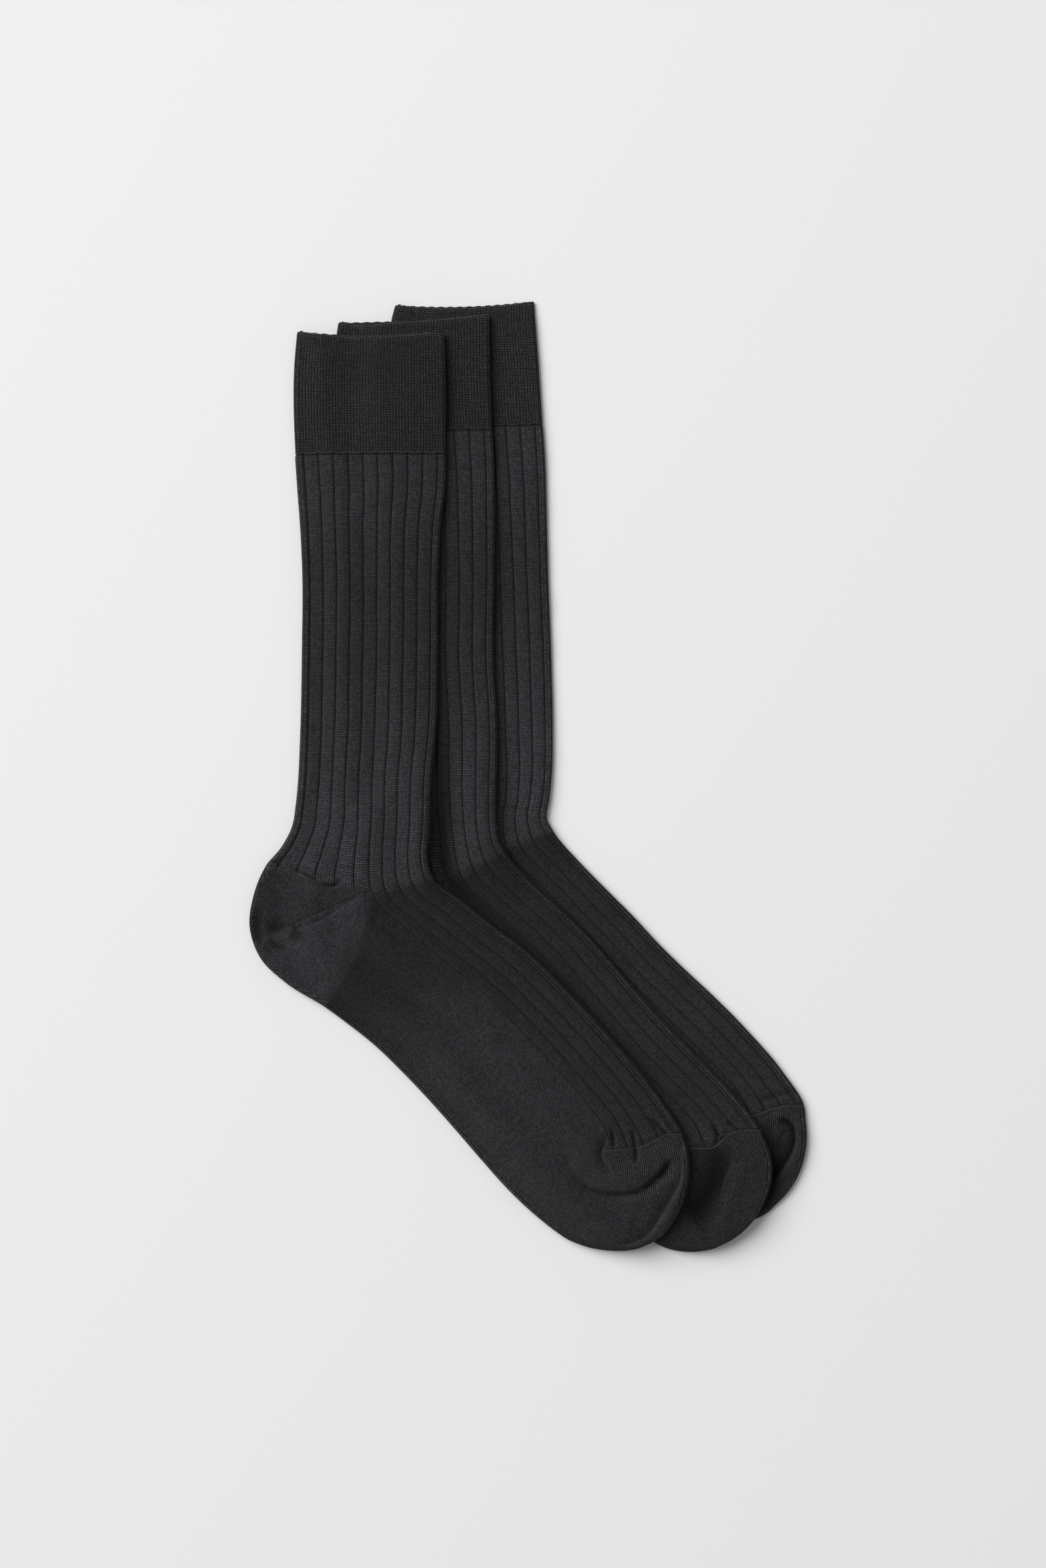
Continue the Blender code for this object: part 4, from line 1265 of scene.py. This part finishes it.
def rib_columns(first: int, last: int, toward: float, plain: float) -> Array:
    """Shares of a panel's half where columns stand: close together round each groove.

    Args:
        first: the first groove.
        last: the last groove.
        toward: 1 for the half toward the front, -1 for the one toward the back.
        plain: the spacing of the columns where there are no grooves.

    Returns:
        Growing shares from 0 to 1 of the panel's flat part.
    """
    beside = np.array([0.0, 0.005, 0.010, 0.017, 0.028, 0.045, 0.07])
    offsets = np.unique(np.concatenate([-beside, beside]))
    grooves = FIRST_GROOVE + GROOVE_PITCH * np.arange(first, last + 1)
    places = (toward * grooves[:, None] + offsets).reshape(-1) / FLAT_SHARE
    fill = np.arange(0.0, 1.0 + 0.5 * plain, plain)
    gap = np.abs(fill[:, None] - places[None]).min(axis=1)
    places = np.concatenate([places, fill[gap > 0.6 * plain], [0.0, 1.0]])
    places = np.unique(np.round(places[(places >= 0.0) & (places <= 1.0)], 4))
    return places[np.concatenate([[True], np.diff(places) > 0.003])]


def upper_row(skin: Skin, ring: Ring, first: float) -> Array:
    """A skin's first row over the top, from a place round the sock to the front fold's middle.

    Args:
        skin: the outer skin.
        ring: its columns.
        first: the ring coordinate to start from.

    Returns:
        Rows of x, y, z and the ring coordinate, in the order of the columns.
    """
    upper = (ring.angle > 0.0) & (skin.around[0] >= first) & (skin.around[0] <= 1.01)
    row = np.column_stack([skin.points[0], skin.around[0]])[upper]
    return row[np.argsort(row[:, 3])]


@dataclass
class Welt(Cloth):
    """The doubled band at the top of a sock, in fine 1x1 rib."""

    ribs: int = 50  # across one panel
    relief: float = 0.30
    course: float = 1.07
    wall: float = 1.3
    wander: float = 0.4
    per_rib: int = 5  # columns for each rib
    rim: float = 0.8  # how far the rim stands out
    low: float = 0.35  # height of the cloth between two ribs
    painted_edge_sheen: float = 0.35  # painted sheen: how much lighter the mouth's edge is, where the loops turn over
    edge_half: float = 1.4  # half width of that edge
    dent_at: float = -0.62  # place of the near edge's dent, round the sock
    dent_half: float = 0.24  # and its half width
    dip_run: float = 22.0  # how far down the welt the mouth's dips reach
    edge_run: float = 6.0  # and its corners and scallops
    back_corner: float = 0.6
    back_half: float = 1.2  # half width of the rounding at the back fold
    front_half: float = 4.0  # and at the front fold
    scallop: float = 0.2
    pinched: float = 0.25  # how much flatter the welt is at its mouth
    pinch_run: float = 15.0
    edge: Row = (0.0, 0.0, 0.0, 0.0)
    lies_low: bool = True

    def wales(self, ring: Array, half: Array) -> Array:
        """Ribs counted from the back fold."""
        return 0.5 * self.ribs * (ring + 1.0)

    def rise(self, ring: Array, half: Array, place: Array) -> Array:
        """Ribs as one cosine wave each."""
        wave = 0.5 - 0.5 * np.cos(math.tau * self.wales(ring, half))
        return self.low + self.relief * wave

    def marks(self, ring: Array, rows: Rows) -> Marks:
        """Lighter at the mouth's edge: a painted sheen where the loops turn over."""
        plain, shade, holes = super().marks(ring, rows)
        light = self.painted_edge_sheen * bell(rows.place - rows.place[0], self.edge_half)
        return plain, shade + light[:, None], holes

    def mouth(self, ring: Array, half: Array, rows: Rows) -> Array:
        """The mouth's edge: each panel's dips in its middle by a parabola, the near one's more.

        It is rounded off at the folds, by a bell of the distance from the fold, one more bell
        dents the near panel's edge, and a cosine of the ribs makes a small scallop of each.
        """
        near, far, corner, dent = self.edge
        dip = np.where(ring < 1.0, near * (1.0 - ring ** 2), far * (1.0 - (ring - 2.0) ** 2))
        dip = dip + dent * bell(ring - self.dent_at, self.dent_half)
        back_fold = np.minimum(np.abs(ring + 1.0), np.abs(ring - 3.0))
        back = bell(back_fold * half, self.back_half)
        front = bell((ring - 1.0) * half, self.front_half)
        past = (rows.place - rows.place[0])[:, None]
        scallop = self.scallop * np.cos(math.tau * self.wales(ring, half))
        corners = self.back_corner * back + corner * front
        return (-dip * (1.0 - eased(past / self.dip_run))
                - (corners + scallop) * (1.0 - eased(past / self.edge_run)))

    def build(self, lay: Lay) -> Shell:
        """The welt, with a rounded rim at its mouth."""
        self.edge = lay.plan.mouth
        fine = np.linspace(0.0, 1.0, self.ribs // 2 * self.per_rib + 1)
        ring = Ring.whole(fine[1:], fine, np.linspace(0.0, 1.0, 31))
        sides = []
        for inside, step in ((False, 0.8), (True, 3.0)):
            rows = sections(lay, stepped(self.rim, lay.seam_at, step), lay.back_of_leg)
            fade = 1.0 - eased((rows.place - self.rim) / self.pinch_run)
            rows = rows._replace(pinch=1.0 - self.pinched * fade)
            sides.append(self.skin(lay, rows, ring, inside))
        outer, inner = sides
        skin = joined(inner.rows(BACKWARD), rim(outer, inner, self.rim).rows(BACKWARD), outer)
        return Shell(skin, True, True, rows.cut(), sharp=(0, len(skin.points) - 1))


@dataclass
class Leg(Cloth):
    """The leg, in wide rib from the welt to the ankle."""

    depth: float = 0.50  # of a groove on the leg
    foot_depth: float = 0.55  # and on the foot
    crown: float = 0.46  # how much a rib's middle stands over its sides
    narrow: float = 0.50  # half width of a groove
    foot_from: float = 12.0  # how far over the ankle the groove starts to change
    foot_run: float = 30.0  # and the length over which it does
    level: float = 0.85  # how far the ribs are drawn level at the heel's line
    level_half: float = 2.2  # half width of the stretch that is drawn level
    line_at: float = 0.9  # where the dark line under the welt lies, from its seam
    line_dip: float = 0.7  # and how deep the ribs dip there
    dip_half: float = 0.8  # half width of the dip
    line_half: float = 0.5  # and of the line
    line_dark: float = 0.5
    line_sag: float = 2.4  # a quarter of it is how far the line hangs down in each rib
    ankle_stretch_and_painted_light: float = 0.42  # how much lighter the leg is over the ankle, partly stretched knit and partly painted light where the puffed ankle faces the lamp
    ankle_from: float = 130.0  # how far over the ankle that starts
    ankle_run: float = 100.0  # and the length over which it comes
    top_light: float = 0.26  # how much lighter the leg is under the welt
    top_from: float = 15.0  # how far under the seam that starts to fade
    top_run: float = 50.0  # and the length over which it does
    seam_at: float = 0.0  # the welt's seam
    bend_at: float = 0.0  # the ankle, where the ribs turn onto the foot
    toe_at: float = 0.0  # the toe's seam

    def away(self, ring: Array, half: Array) -> tuple[Array, Array]:
        """Distance from the nearest groove, in millimetres and as a share of the pitch."""
        turns = (ring - FIRST_GROOVE) / GROOVE_PITCH
        share = np.abs(turns - np.round(turns))
        return share * GROOVE_PITCH * half, share

    def ribbed(self, ring: Array) -> Array:
        """1 where the cloth is ribbed: all round the leg."""
        return np.ones_like(ring)

    def levelled(self, ring: Array, place: Array) -> Array:
        """How far the ribs are drawn level: nearly so at the heel's line, behind the gore."""
        behind = eased((np.abs(ring - 1.0) - 1.0) / 0.05)
        return self.level * behind * bell(self.bend_at - place, self.level_half)[:, None]

    def rise(self, ring: Array, half: Array, place: Array) -> Array:
        """A rib's height: its groove is a bell-shaped trough, and its middle is crowned.

        Just under the welt's seam the ribs dip by another bell.
        """
        away, share = self.away(ring, half)
        depth = self.foot_depth + (self.depth - self.foot_depth) * (
            1.0 - eased((place - self.bend_at + self.foot_from) / self.foot_run))
        full = 1.0 - bell(away, self.narrow)
        ribs = depth[:, None] * full + self.crown * (1.0 - (1.0 - 2.0 * share) ** 2)
        ribs = ribs + (1.0 - self.ribbed(ring)) * (PLAIN_LEVEL - ribs)
        ribs = ribs + self.levelled(ring, place) * (PLAIN_LEVEL - ribs)
        dip = self.line_dip * bell(place - self.seam_at - self.line_at, self.dip_half)
        return ribs - dip[:, None] * full

    def marks(self, ring: Array, rows: Rows) -> Marks:
        """Lighter under the welt, and down the leg, most of all over the ankle, partly stretched
        knit and partly painted light.

        A dark line under the welt's seam hangs down in the middle of each rib by a parabola.
        """
        place = rows.place[:, None]
        from_seam = place - self.seam_at
        from_bend = place - self.bend_at
        down = (self.ankle_stretch_and_painted_light * eased((from_bend + self.ankle_from) / self.ankle_run)
                + self.top_light * (1.0 - eased((from_seam - self.top_from) / self.top_run)))
        share = np.mod((ring - FIRST_GROOVE) / GROOVE_PITCH, 1.0)
        sag = self.line_sag * share * (1.0 - share)
        line = bell(from_seam - self.line_at - sag, self.line_half)
        holes = np.broadcast_to(np.abs(from_seam - 1.0), ring.shape)
        return self.ribbed(ring), (1.0 + down) * (1.0 - self.line_dark * line), holes

    def tube(self, lay: Lay, ring: Ring, outer: Array, back: Measure, first: float) -> Shell:
        """An open tube of cloth.

        Args:
            lay: how the sock lies.
            ring: its columns.
            outer: places of the outer side's rows; the inner side's are further apart.
            back: gives the back edge at places along the sock.
            first: where the seam's loops start, round the sock.

        Returns:
            The tube.
        """
        rows = sections(lay, outer, back)
        over = self.skin(lay, rows, ring)
        inner = sections(lay, stepped(outer[0], outer[-1], 8.0), back)
        skin = joined(over, self.skin(lay, inner, ring, inside=True).rows(BACKWARD))
        last = len(outer) - 1
        return Shell(skin, True, True, rows.cut(), upper_row(over, ring, first),
                     sharp=(0, last, last + 1, len(skin.points) - 1))

    def build(self, lay: Lay) -> Shell:
        """The leg."""
        self.seam_at, self.bend_at, self.toe_at = lay.seam_at, lay.ankle_at, lay.toe_at
        ring = Ring.whole(rib_columns(0, 4, -1.0, 0.03)[1:], rib_columns(5, 9, 1.0, 0.03))
        places = stepped(lay.seam_at, lay.ankle_at, 1.9, near_start=0.4, near_end=0.6)
        return self.tube(lay, ring, places, lay.back_of_leg, -1.0)


@dataclass
class Foot(Leg):
    """The foot: a plain sole, and the leg's ribs running on over the instep."""

    level: float = 0.8  # how far the ribs are drawn level at the toe's seam
    rib_side: float = 0.09  # how far in from the folds the first rib's side lies
    side_ease: float = 0.035  # how far round the sock it eases
    # painted light and shade: the foot is darker past the ankle and the heel, and lighter toward the
    # toe
    instep: float = 0.53  # shade of the instep past the ankle
    instep_gain: float = 0.36  # and how much lighter it gets toward the toe
    instep_run: float = 60.0  # and the length over which most of that comes
    sole: float = 0.47  # shade of the sole past the heel
    sole_gain: float = 0.0072  # and how much lighter it gets with each millimetre
    sole_light: float = 1.02  # up to this
    bend: float = 1.06  # shade at the ankle and the heel
    rib_bend: float = 0.14  # and how much lighter it is on the ribs
    heel_reach: float = 8.0  # how far the heel's light reaches onto the sole
    rib_reach: float = 1.4  # and the leg's onto the instep
    sole_middle: float = 1.42  # the sole's middle, round the sock from the instep's
    sole_half: float = 0.58  # and its half width there
    light_ends: float = 5.5  # the length over which the light ends
    seam_dark: float = 0.4  # how much darker the ribs are at the toe's seam
    seam_half: float = 1.3  # half width of that stretch

    def wales(self, ring: Array, half: Array) -> Array:
        """The leg's count over the instep, and more wales to the wider sole."""
        instep = np.clip(ring, 0.0, 2.0)
        return super().wales(instep, half) + SOLE_WALES * (ring - instep)

    def ribbed(self, ring: Array) -> Array:
        """1 on the instep and 0 on the plain sole, easing over the first rib's side."""
        return eased((1.0 - np.abs(ring - 1.0) - self.rib_side) / self.side_ease)

    def levelled(self, ring: Array, place: Array) -> Array:
        """The ribs are drawn nearly level at the toe's seam."""
        at_seam = bell(self.toe_at - place, self.level_half)
        return np.broadcast_to(self.level * at_seam[:, None], ring.shape)

    def marks(self, ring: Array, rows: Rows) -> Marks:
        """Painted light and shade: as light as the leg at the ankle, then dark at once, and lighter
        toward the toe.

        On the sole the heel's painted light reaches on in a parabola, furthest in the middle.
        """
        past = (rows.place - self.bend_at)[:, None]
        ribbed = self.ribbed(ring)
        instep = self.instep + self.instep_gain * (1.0 - np.exp(-past / self.instep_run))
        sole = np.minimum(self.sole + self.sole_gain * past, self.sole_light)
        plain = sole + ribbed * (instep - sole)
        across = (np.abs(ring - 1.0) - self.sole_middle) / self.sole_half
        middle = np.clip(1.0 - across ** 2, 0.0, 1.0)
        reach = self.rib_reach * ribbed + (1.0 - ribbed) * self.heel_reach * middle
        near = 1.0 - eased((past - reach + 2.0) / self.light_ends)
        light = self.bend + self.rib_bend * ribbed
        at_seam = bell(self.toe_at - rows.place[:, None], self.seam_half)
        shade = (1.0 - self.seam_dark * ribbed * at_seam) * (plain + near * (light - plain))
        return ribbed, shade, np.full_like(ring, NO_HOLES)

    def build(self, lay: Lay) -> Shell:
        """The foot."""
        self.seam_at, self.bend_at, self.toe_at = -99.0, lay.ankle_at, lay.toe_at
        ring = Ring.whole(np.linspace(0.0, 1.0, 34)[1:], rib_columns(5, 9, 1.0, 0.02))
        places = stepped(lay.ankle_at, lay.toe_at, 1.4, near_end=0.6)
        return self.tube(lay, ring, places, lay.sole_of_foot, 9.0)


@dataclass
class Heel(Cloth):
    """The plain heel pocket: spokes from its gore round the back of the sock."""

    reach: float = 0.006  # how near the gore the spokes start
    course: float = 0.95
    wander: float = 0.0
    wale: float = 1.05  # width of a wale
    mitre_share: float = 0.44  # how far round the pocket its mitre lies
    # painted light: the part under the mitre, whose knit turns, is made lighter than the part over
    # it
    over: float = 0.84  # shade over the mitre
    under: float = 1.18  # and under it
    holes_from: float = 4.0  # distances from the gore between which the holes lie
    holes_to: float = 42.0
    mitre_at: float = 0.0

    @staticmethod
    def from_gore(ring: Array, rows: Rows) -> Array:
        """Each point's place in plan, seen from the gore."""
        return (1.0 - np.abs(ring - 3.0))[..., None] * (rows.back - rows.side)[:, None]

    @staticmethod
    def axes(spoke: Array) -> Array:
        """The directions along a spoke and square to it, one a column."""
        x, y = spoke / np.linalg.norm(spoke)
        return np.array([[x, -y], [y, x]])

    def knit(self, ring: Array, half: Array, rows: Rows) -> Array:
        """Wales that turn a corner on the mitre, and courses square to them.

        Each part is measured from its own spoke: along it for wales, and away from it for courses.
        """
        plan, spokes = self.from_gore(ring, rows), rows.back - rows.side
        upper = (rows.place < self.mitre_at)[:, None, None]
        place = np.where(upper, plan @ self.axes(spokes[0]), plan @ self.axes(spokes[-1]))
        return np.stack([place[..., 0] / self.wale, np.abs(place[..., 1]) / self.course], axis=-1)

    def marks(self, ring: Array, rows: Rows) -> Marks:
        """Painted light: lighter under the mitre than over it, where the knit turns, with a line of
        holes along it.
        """
        plan = self.from_gore(ring, rows)
        mitre = (rows.back - rows.side)[np.searchsorted(rows.place, self.mitre_at)]
        holes = np.abs((plan @ self.axes(mitre))[..., 1])
        away = np.linalg.norm(plan, axis=-1)
        holes = holes + NO_HOLES * ((away < self.holes_from) | (away > self.holes_to))
        shade = np.where((rows.place < self.mitre_at)[:, None], self.over, self.under)
        return np.zeros_like(ring), np.broadcast_to(shade, ring.shape), holes

    def build(self, lay: Lay) -> Shell:
        """The heel pocket."""
        ring = Ring.behind(np.linspace(self.reach, 1.0, 56))
        knots = np.linspace(lay.heel_from, lay.heel_to, 96)
        gore = np.array(lay.plan.gore)
        spokes = lay.back.at(knots) - gore
        turn = np.unwrap(np.arctan2(spokes[:, 1], spokes[:, 0]))
        at_mitre = turn[0] + self.mitre_share * (turn[-1] - turn[0])
        self.mitre_at = float(np.interp(at_mitre, turn, knots))
        knots = np.unique(np.concatenate([knots, self.mitre_at + np.array([-0.01, 0.01])]))
        count = len(knots)
        gores = np.repeat(gore[None], count, axis=0)
        rows = Rows(lay.back.at(knots), gores, gores, knots, np.ones(count))
        skin = joined(self.skin(lay, rows, ring),
                      self.skin(lay, rows, ring, inside=True).rows(BACKWARD))
        return Shell(skin, True, False, rows.cut(), ladder=count,
                     sharp=(0, count - 1, count, 2 * count - 1))


@dataclass
class Toe(Cloth):
    """The plain toe cap, closed round its tip."""

    wander: float = 0.0
    course: float = 0.88
    wall: float = 0.9
    tip_reach: float = 0.8  # how far the tip lies past the last section
    tip_round: float = 2.6  # length of the rounding at the tip
    fullness: float = 1.15  # how much more cloth than the plan, taken up in folds
    front_width: float = 1.03  # width of a wale at the front fold
    back_width: float = 1.05  # and at the back fold
    front_wale: float = 66.22  # the foot's count at its front fold
    back_wale: float = -16.78  # and at its back fold
    back_wales: float = 83.0  # what the underside's count is ahead by, at the back
    holes_run: float = 15.0  # how far down from the seam its holes go
    # painted light and shade of the toe, from the plan
    tone: float = 1.0

    def wales(self, ring: Array, half: Array) -> Array:
        """Wales counted from each fold, so that they keep their width as the cap narrows."""
        front = self.front_wale + (ring - 1.0) * half / self.front_width
        back = self.back_wale + (ring + 1.0) * half / self.back_width
        return np.where(ring < 0.0, back, np.where(ring > 2.0, back + self.back_wales, front))

    def marks(self, ring: Array, rows: Rows) -> Marks:
        """Plain, with a short line of holes down from the seam's inner end, and the toe's painted
        light and shade.
        """
        reach = np.where(ring[..., None] < 0.0, (rows.back - rows.side)[:, None],
                         (rows.front - rows.side)[:, None])
        holes = np.abs(ring) * np.hypot(reach[..., 0], reach[..., 1])
        holes = holes + NO_HOLES * (rows.place > rows.place[0] + self.holes_run)[:, None]
        return np.zeros_like(ring), np.full_like(ring, self.tone), holes

    def sections(self, lay: Lay, step: float) -> Rows:
        """Sections down to the tip: the last ones shorten as a parabola, and flatten as an arc."""
        tip = lay.end_at + self.tip_reach
        turn = np.radians(np.linspace(0.0, 84.0, 13))
        count = int((lay.end_at - lay.toe_at) / step) + 1
        body = np.linspace(lay.toe_at, tip - self.tip_round, count)
        place = np.concatenate([body[:-1], tip - self.tip_round * (1.0 - np.sin(turn))])
        pinch = np.concatenate([np.ones(len(body) - 1), np.cos(turn)])
        inside = np.minimum(place, lay.end_at)
        back, side, front = (lay.sole_of_foot(inside), lay.side.at(inside), lay.front.at(inside))
        past = np.clip((place - lay.end_at) / self.tip_reach, 0.0, 1.0)
        short = np.sqrt(1.0 - past)[:, None]
        middle = 0.5 * (back + front)
        across = front[-1] - back[-1]
        onward = np.array([across[1], -across[0]]) / np.linalg.norm(across)
        step_on = (self.tip_reach * past)[:, None] * onward
        points = (middle + short * (edge - middle) + step_on for edge in (back, side, front))
        return Rows(*points, place, pinch)

    def build(self, lay: Lay) -> Shell:
        """The toe cap."""
        self.tone = lay.plan.toe_painted_light
        shares = np.linspace(0.0, 1.0, 60)
        ring = Ring.whole(np.concatenate([[0.0006], shares[1:]]), shares)
        rows, coarse = self.sections(lay, 0.62), self.sections(lay, 4.0)
        coarse = Rows(*[array[coarse.pinch > 0.75] for array in coarse])
        outer = self.skin(lay, rows, ring)
        skin = joined(outer.rows(BACKWARD), self.skin(lay, coarse, ring, inside=True))
        seam = len(outer.points) - 1
        return Shell(skin, False, True, rows.cut(self.fullness), upper_row(outer, ring, 0.0),
                     sharp=(seam, seam + 1))


@dataclass
class Linking:
    """Loops of yarn that link two pieces along a seam, each a small flattened ball."""

    pitch: float  # from one loop to the next
    size: tuple[float, float, float]  # half sizes along the seam, across it and up
    scallop: float  # how far the seam hangs down in a rib's middle
    sink: float = 0.1
    uneven_pitch: float = 0.1  # how far a loop may lie from its place, as a share of the pitch
    uneven_size: float = 0.2  # and how much larger or smaller it may be

    def ball(self) -> tuple[Array, Array, Array]:
        """A unit ball: a grid of three rings of six points, and two poles.

        Returns:
            Its points, its quads and its triangles.
        """
        tilt, turn = np.meshgrid(np.radians([45.0, 90.0, 135.0]), np.radians(60.0 * np.arange(6)),
                                 indexing="ij")
        points = np.stack([np.sin(tilt) * np.cos(turn), np.sin(tilt) * np.sin(turn),
                           np.cos(tilt)], axis=-1).reshape(-1, 3)
        points = np.vstack([points, [0.0, 0.0, 1.0], [0.0, 0.0, -1.0]])
        index = np.arange(18).reshape(3, 6)
        index = np.hstack([index, index[:, :1]])
        quads = grid_faces(index)[:, ::-1]
        top = np.stack([index[0, :-1], index[0, 1:], np.full(6, 18)], axis=1)
        low = np.stack([index[2, 1:], index[2, :-1], np.full(6, 19)], axis=1)
        return points, quads, np.vstack([top, low])

    def mesh(self, name: str, path: Array, centre: Array, seed: int) -> bpy.types.Mesh:
        """The loops along a seam.

        Args:
            name: the mesh's name.
            path: rows of x, y, z and the ring coordinate along the seam.
            centre: the plan point that becomes the origin.
            seed: what the loops' unevenness is drawn from.

        Returns:
            The mesh, in metres.
        """
        length = lengths_along(path[:, :2])
        draw = np.random.default_rng(seed)
        places = np.arange(0.5 * self.pitch, length[-1] - 0.3 * self.pitch, self.pitch)
        shifts = draw.uniform(-self.uneven_pitch, self.uneven_pitch, len(places))
        places = places + shifts * self.pitch
        middle = np.stack([np.interp(places, length, path[:, axis]) for axis in range(4)], axis=1)
        ahead = np.stack([np.interp(places + 0.3, length, path[:, axis])
                          - np.interp(places - 0.3, length, path[:, axis]) for axis in (0, 1)], 1)
        ahead = ahead / np.linalg.norm(ahead, axis=1)[:, None]
        share = np.mod((middle[:, 3] - FIRST_GROOVE) / GROOVE_PITCH, 1.0)
        middle[:, 1] -= self.scallop * 4.0 * share * (1.0 - share)
        middle[:, 2] -= self.sink
        grow = draw.uniform(1.0 - self.uneven_size, 1.0 + self.uneven_size, (len(places), 1))
        along = np.column_stack([ahead, np.zeros(len(places))]) * self.size[0] * grow
        side = np.column_stack([-ahead[:, 1], ahead[:, 0], np.zeros(len(places))]) * self.size[1]
        up = np.broadcast_to([0.0, 0.0, self.size[2]], along.shape)
        ball, quads, fans = self.ball()
        points = middle[:, None, :3] + np.einsum("pa,naX->npX", ball, np.stack([along, side, up], 1))
        points = (points - np.array([centre[0], centre[1], 0.0])).reshape(-1, 3) * MM
        shift = 20 * np.arange(len(places))[:, None, None]
        return mesh_of(name, points, [(quads + shift).reshape(-1, 4), (fans + shift).reshape(-1, 3)])


# ---------------- putting it together

def placed(name: str, data: bpy.types.ID) -> bpy.types.Object:
    """A new object of some data, in the scene."""
    thing = bpy.data.objects.new(name, data)
    bpy.context.scene.collection.objects.link(thing)
    return thing


class Studio:
    """The pale floor, the soft lights and the camera straight above."""

    view_height: float = 0.771  # metres of floor that the picture's height takes in
    view_from: float = 1.9
    aim: Row = (-0.0025, -0.0040)
    key_place: Row = (147.0, 45.0, 7.0)  # azimuth, elevation, distance
    floor_half: float = 3.0
    sensor: float = 36.0
    lamp_size: float = 6.5
    lamp_power: float = 612.0
    room_light: float = 0.30

    def build(self) -> None:
        """Make the floor, the lights and the camera."""
        self.floor()
        self.lights()
        self.camera()
        scene = bpy.context.scene
        scene.view_settings.view_transform = "Standard"
        scene.view_settings.look = "None"

    def floor(self) -> None:
        """A matt floor that runs far past the view."""
        mesh = bpy.data.meshes.new("floor")
        corners = [(x * self.floor_half, y * self.floor_half, 0.0)
                   for x, y in ((-1, -1), (1, -1), (1, 1), (-1, 1))]
        mesh.from_pydata(corners, [], [(0, 1, 2, 3)])
        mesh.materials.append(FLOOR.material())
        placed("floor", mesh)

    def lights(self) -> None:
        """One broad soft key from the upper left, and an even white room."""
        world = bpy.data.worlds.new("room")
        bpy.context.scene.world = world
        world.use_nodes = True
        room = world.node_tree.nodes["Background"]
        room.inputs["Color"].default_value = (1.0, 1.0, 1.0, 1.0)
        room.inputs["Strength"].default_value = self.room_light
        lamp = bpy.data.lights.new("key", "AREA")
        lamp.shape = "DISK"
        lamp.size = self.lamp_size
        lamp.energy = self.lamp_power
        key = placed("key", lamp)
        turn, rise = (math.radians(angle) for angle in self.key_place[:2])
        key.location = self.key_place[2] * Vector(
            (math.cos(turn) * math.cos(rise), math.sin(turn) * math.cos(rise), math.sin(rise)))
        key.rotation_euler = (-key.location).to_track_quat("-Z", "Y").to_euler()

    def camera(self) -> None:
        """A long lens straight above, framed as wide as the view is high."""
        lens = bpy.data.cameras.new("camera")
        lens.sensor_width = self.sensor
        lens.lens = self.sensor * self.view_from / self.view_height
        lens.clip_end = 20.0
        camera = placed("camera", lens)
        camera.location = (*self.aim, self.view_from)
        bpy.context.scene.camera = camera


class Kind(Enum):
    """The five pieces of a sock, from the top: each with its class and its material slot."""

    CUFF = ("cuff", Welt, "welt_knit")
    LEG = ("leg", Leg, "leg_knit")
    HEEL = ("heel", Heel, "heel_knit")
    FOOT = ("foot", Foot, "foot_knit")
    TOE = ("toe", Toe, "toe_knit")


LINKS = {
    Kind.LEG: Linking(0.80, (0.36, 0.62, 0.45), 0.60),
    Kind.TOE: Linking(0.95, (0.50, 0.80, 0.60), 0.0),
}


class Sock:
    """One sock of the fan, dressed piece by piece."""

    def __init__(self, lay: Lay, centre: Array, seed: int) -> None:
        """Keep how it lies, the fan's centre and the seed of its loops."""
        self.lay = lay
        self.centre = centre
        self.seed = seed

    def add(self, name: str, mesh: bpy.types.Mesh, material: bpy.types.Material,
            slot: str) -> bpy.types.Object:
        """Link a mesh as a piece that rides on the body, and report it."""
        piece = placed(name, mesh)
        mesh.materials.append(material)
        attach(piece, BODY)
        mesh.calc_loop_triangles()
        LOG.info("%s: %d triangles", name, len(mesh.loop_triangles))
        return piece

    def dress(self, materials: dict[str, bpy.types.Material]) -> None:
        """Build the sock's five pieces and its seams.

        Args:
            materials: each slot's material, and the seam yarn's.
        """
        for kind in Kind:
            part, maker, slot = kind.value
            node = f"{self.lay.plan.name}_{part}"
            shell = maker().build(self.lay)
            piece = self.add(node + "_cloth", shell.mesh(node + "_cloth", self.centre),
                             materials[slot], slot)
            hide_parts(node)
            if kind in LINKS:
                loops = LINKS[kind].mesh(node + "_loops", shell.seam, self.centre, self.seed)
                self.add(node + "_loops", loops, materials[SEAM_YARN.name], slot)


def main() -> None:
    """Build the stage, then each sock from the surface up."""
    logging.basicConfig(level=logging.INFO, format="%(message)s")
    Studio().build()
    groups = Groups()
    materials = {finish.name: finish.material(groups) for finish in FINISHES}
    materials[SEAM_YARN.name] = SEAM_YARN.material()
    lays: list[Lay] = []
    for order, plan in enumerate(STACK):
        lays.append(Lay(plan, list(lays), seed=11 + order))
    corners = np.vstack([np.vstack([lay.back.points, lay.front.points]) for lay in lays])
    centre = 0.5 * (corners.min(axis=0) + corners.max(axis=0))
    for order, lay in enumerate(lays):
        Sock(lay, centre, seed=31 + order).dress(materials)


if __name__ == "__main__":
    main()
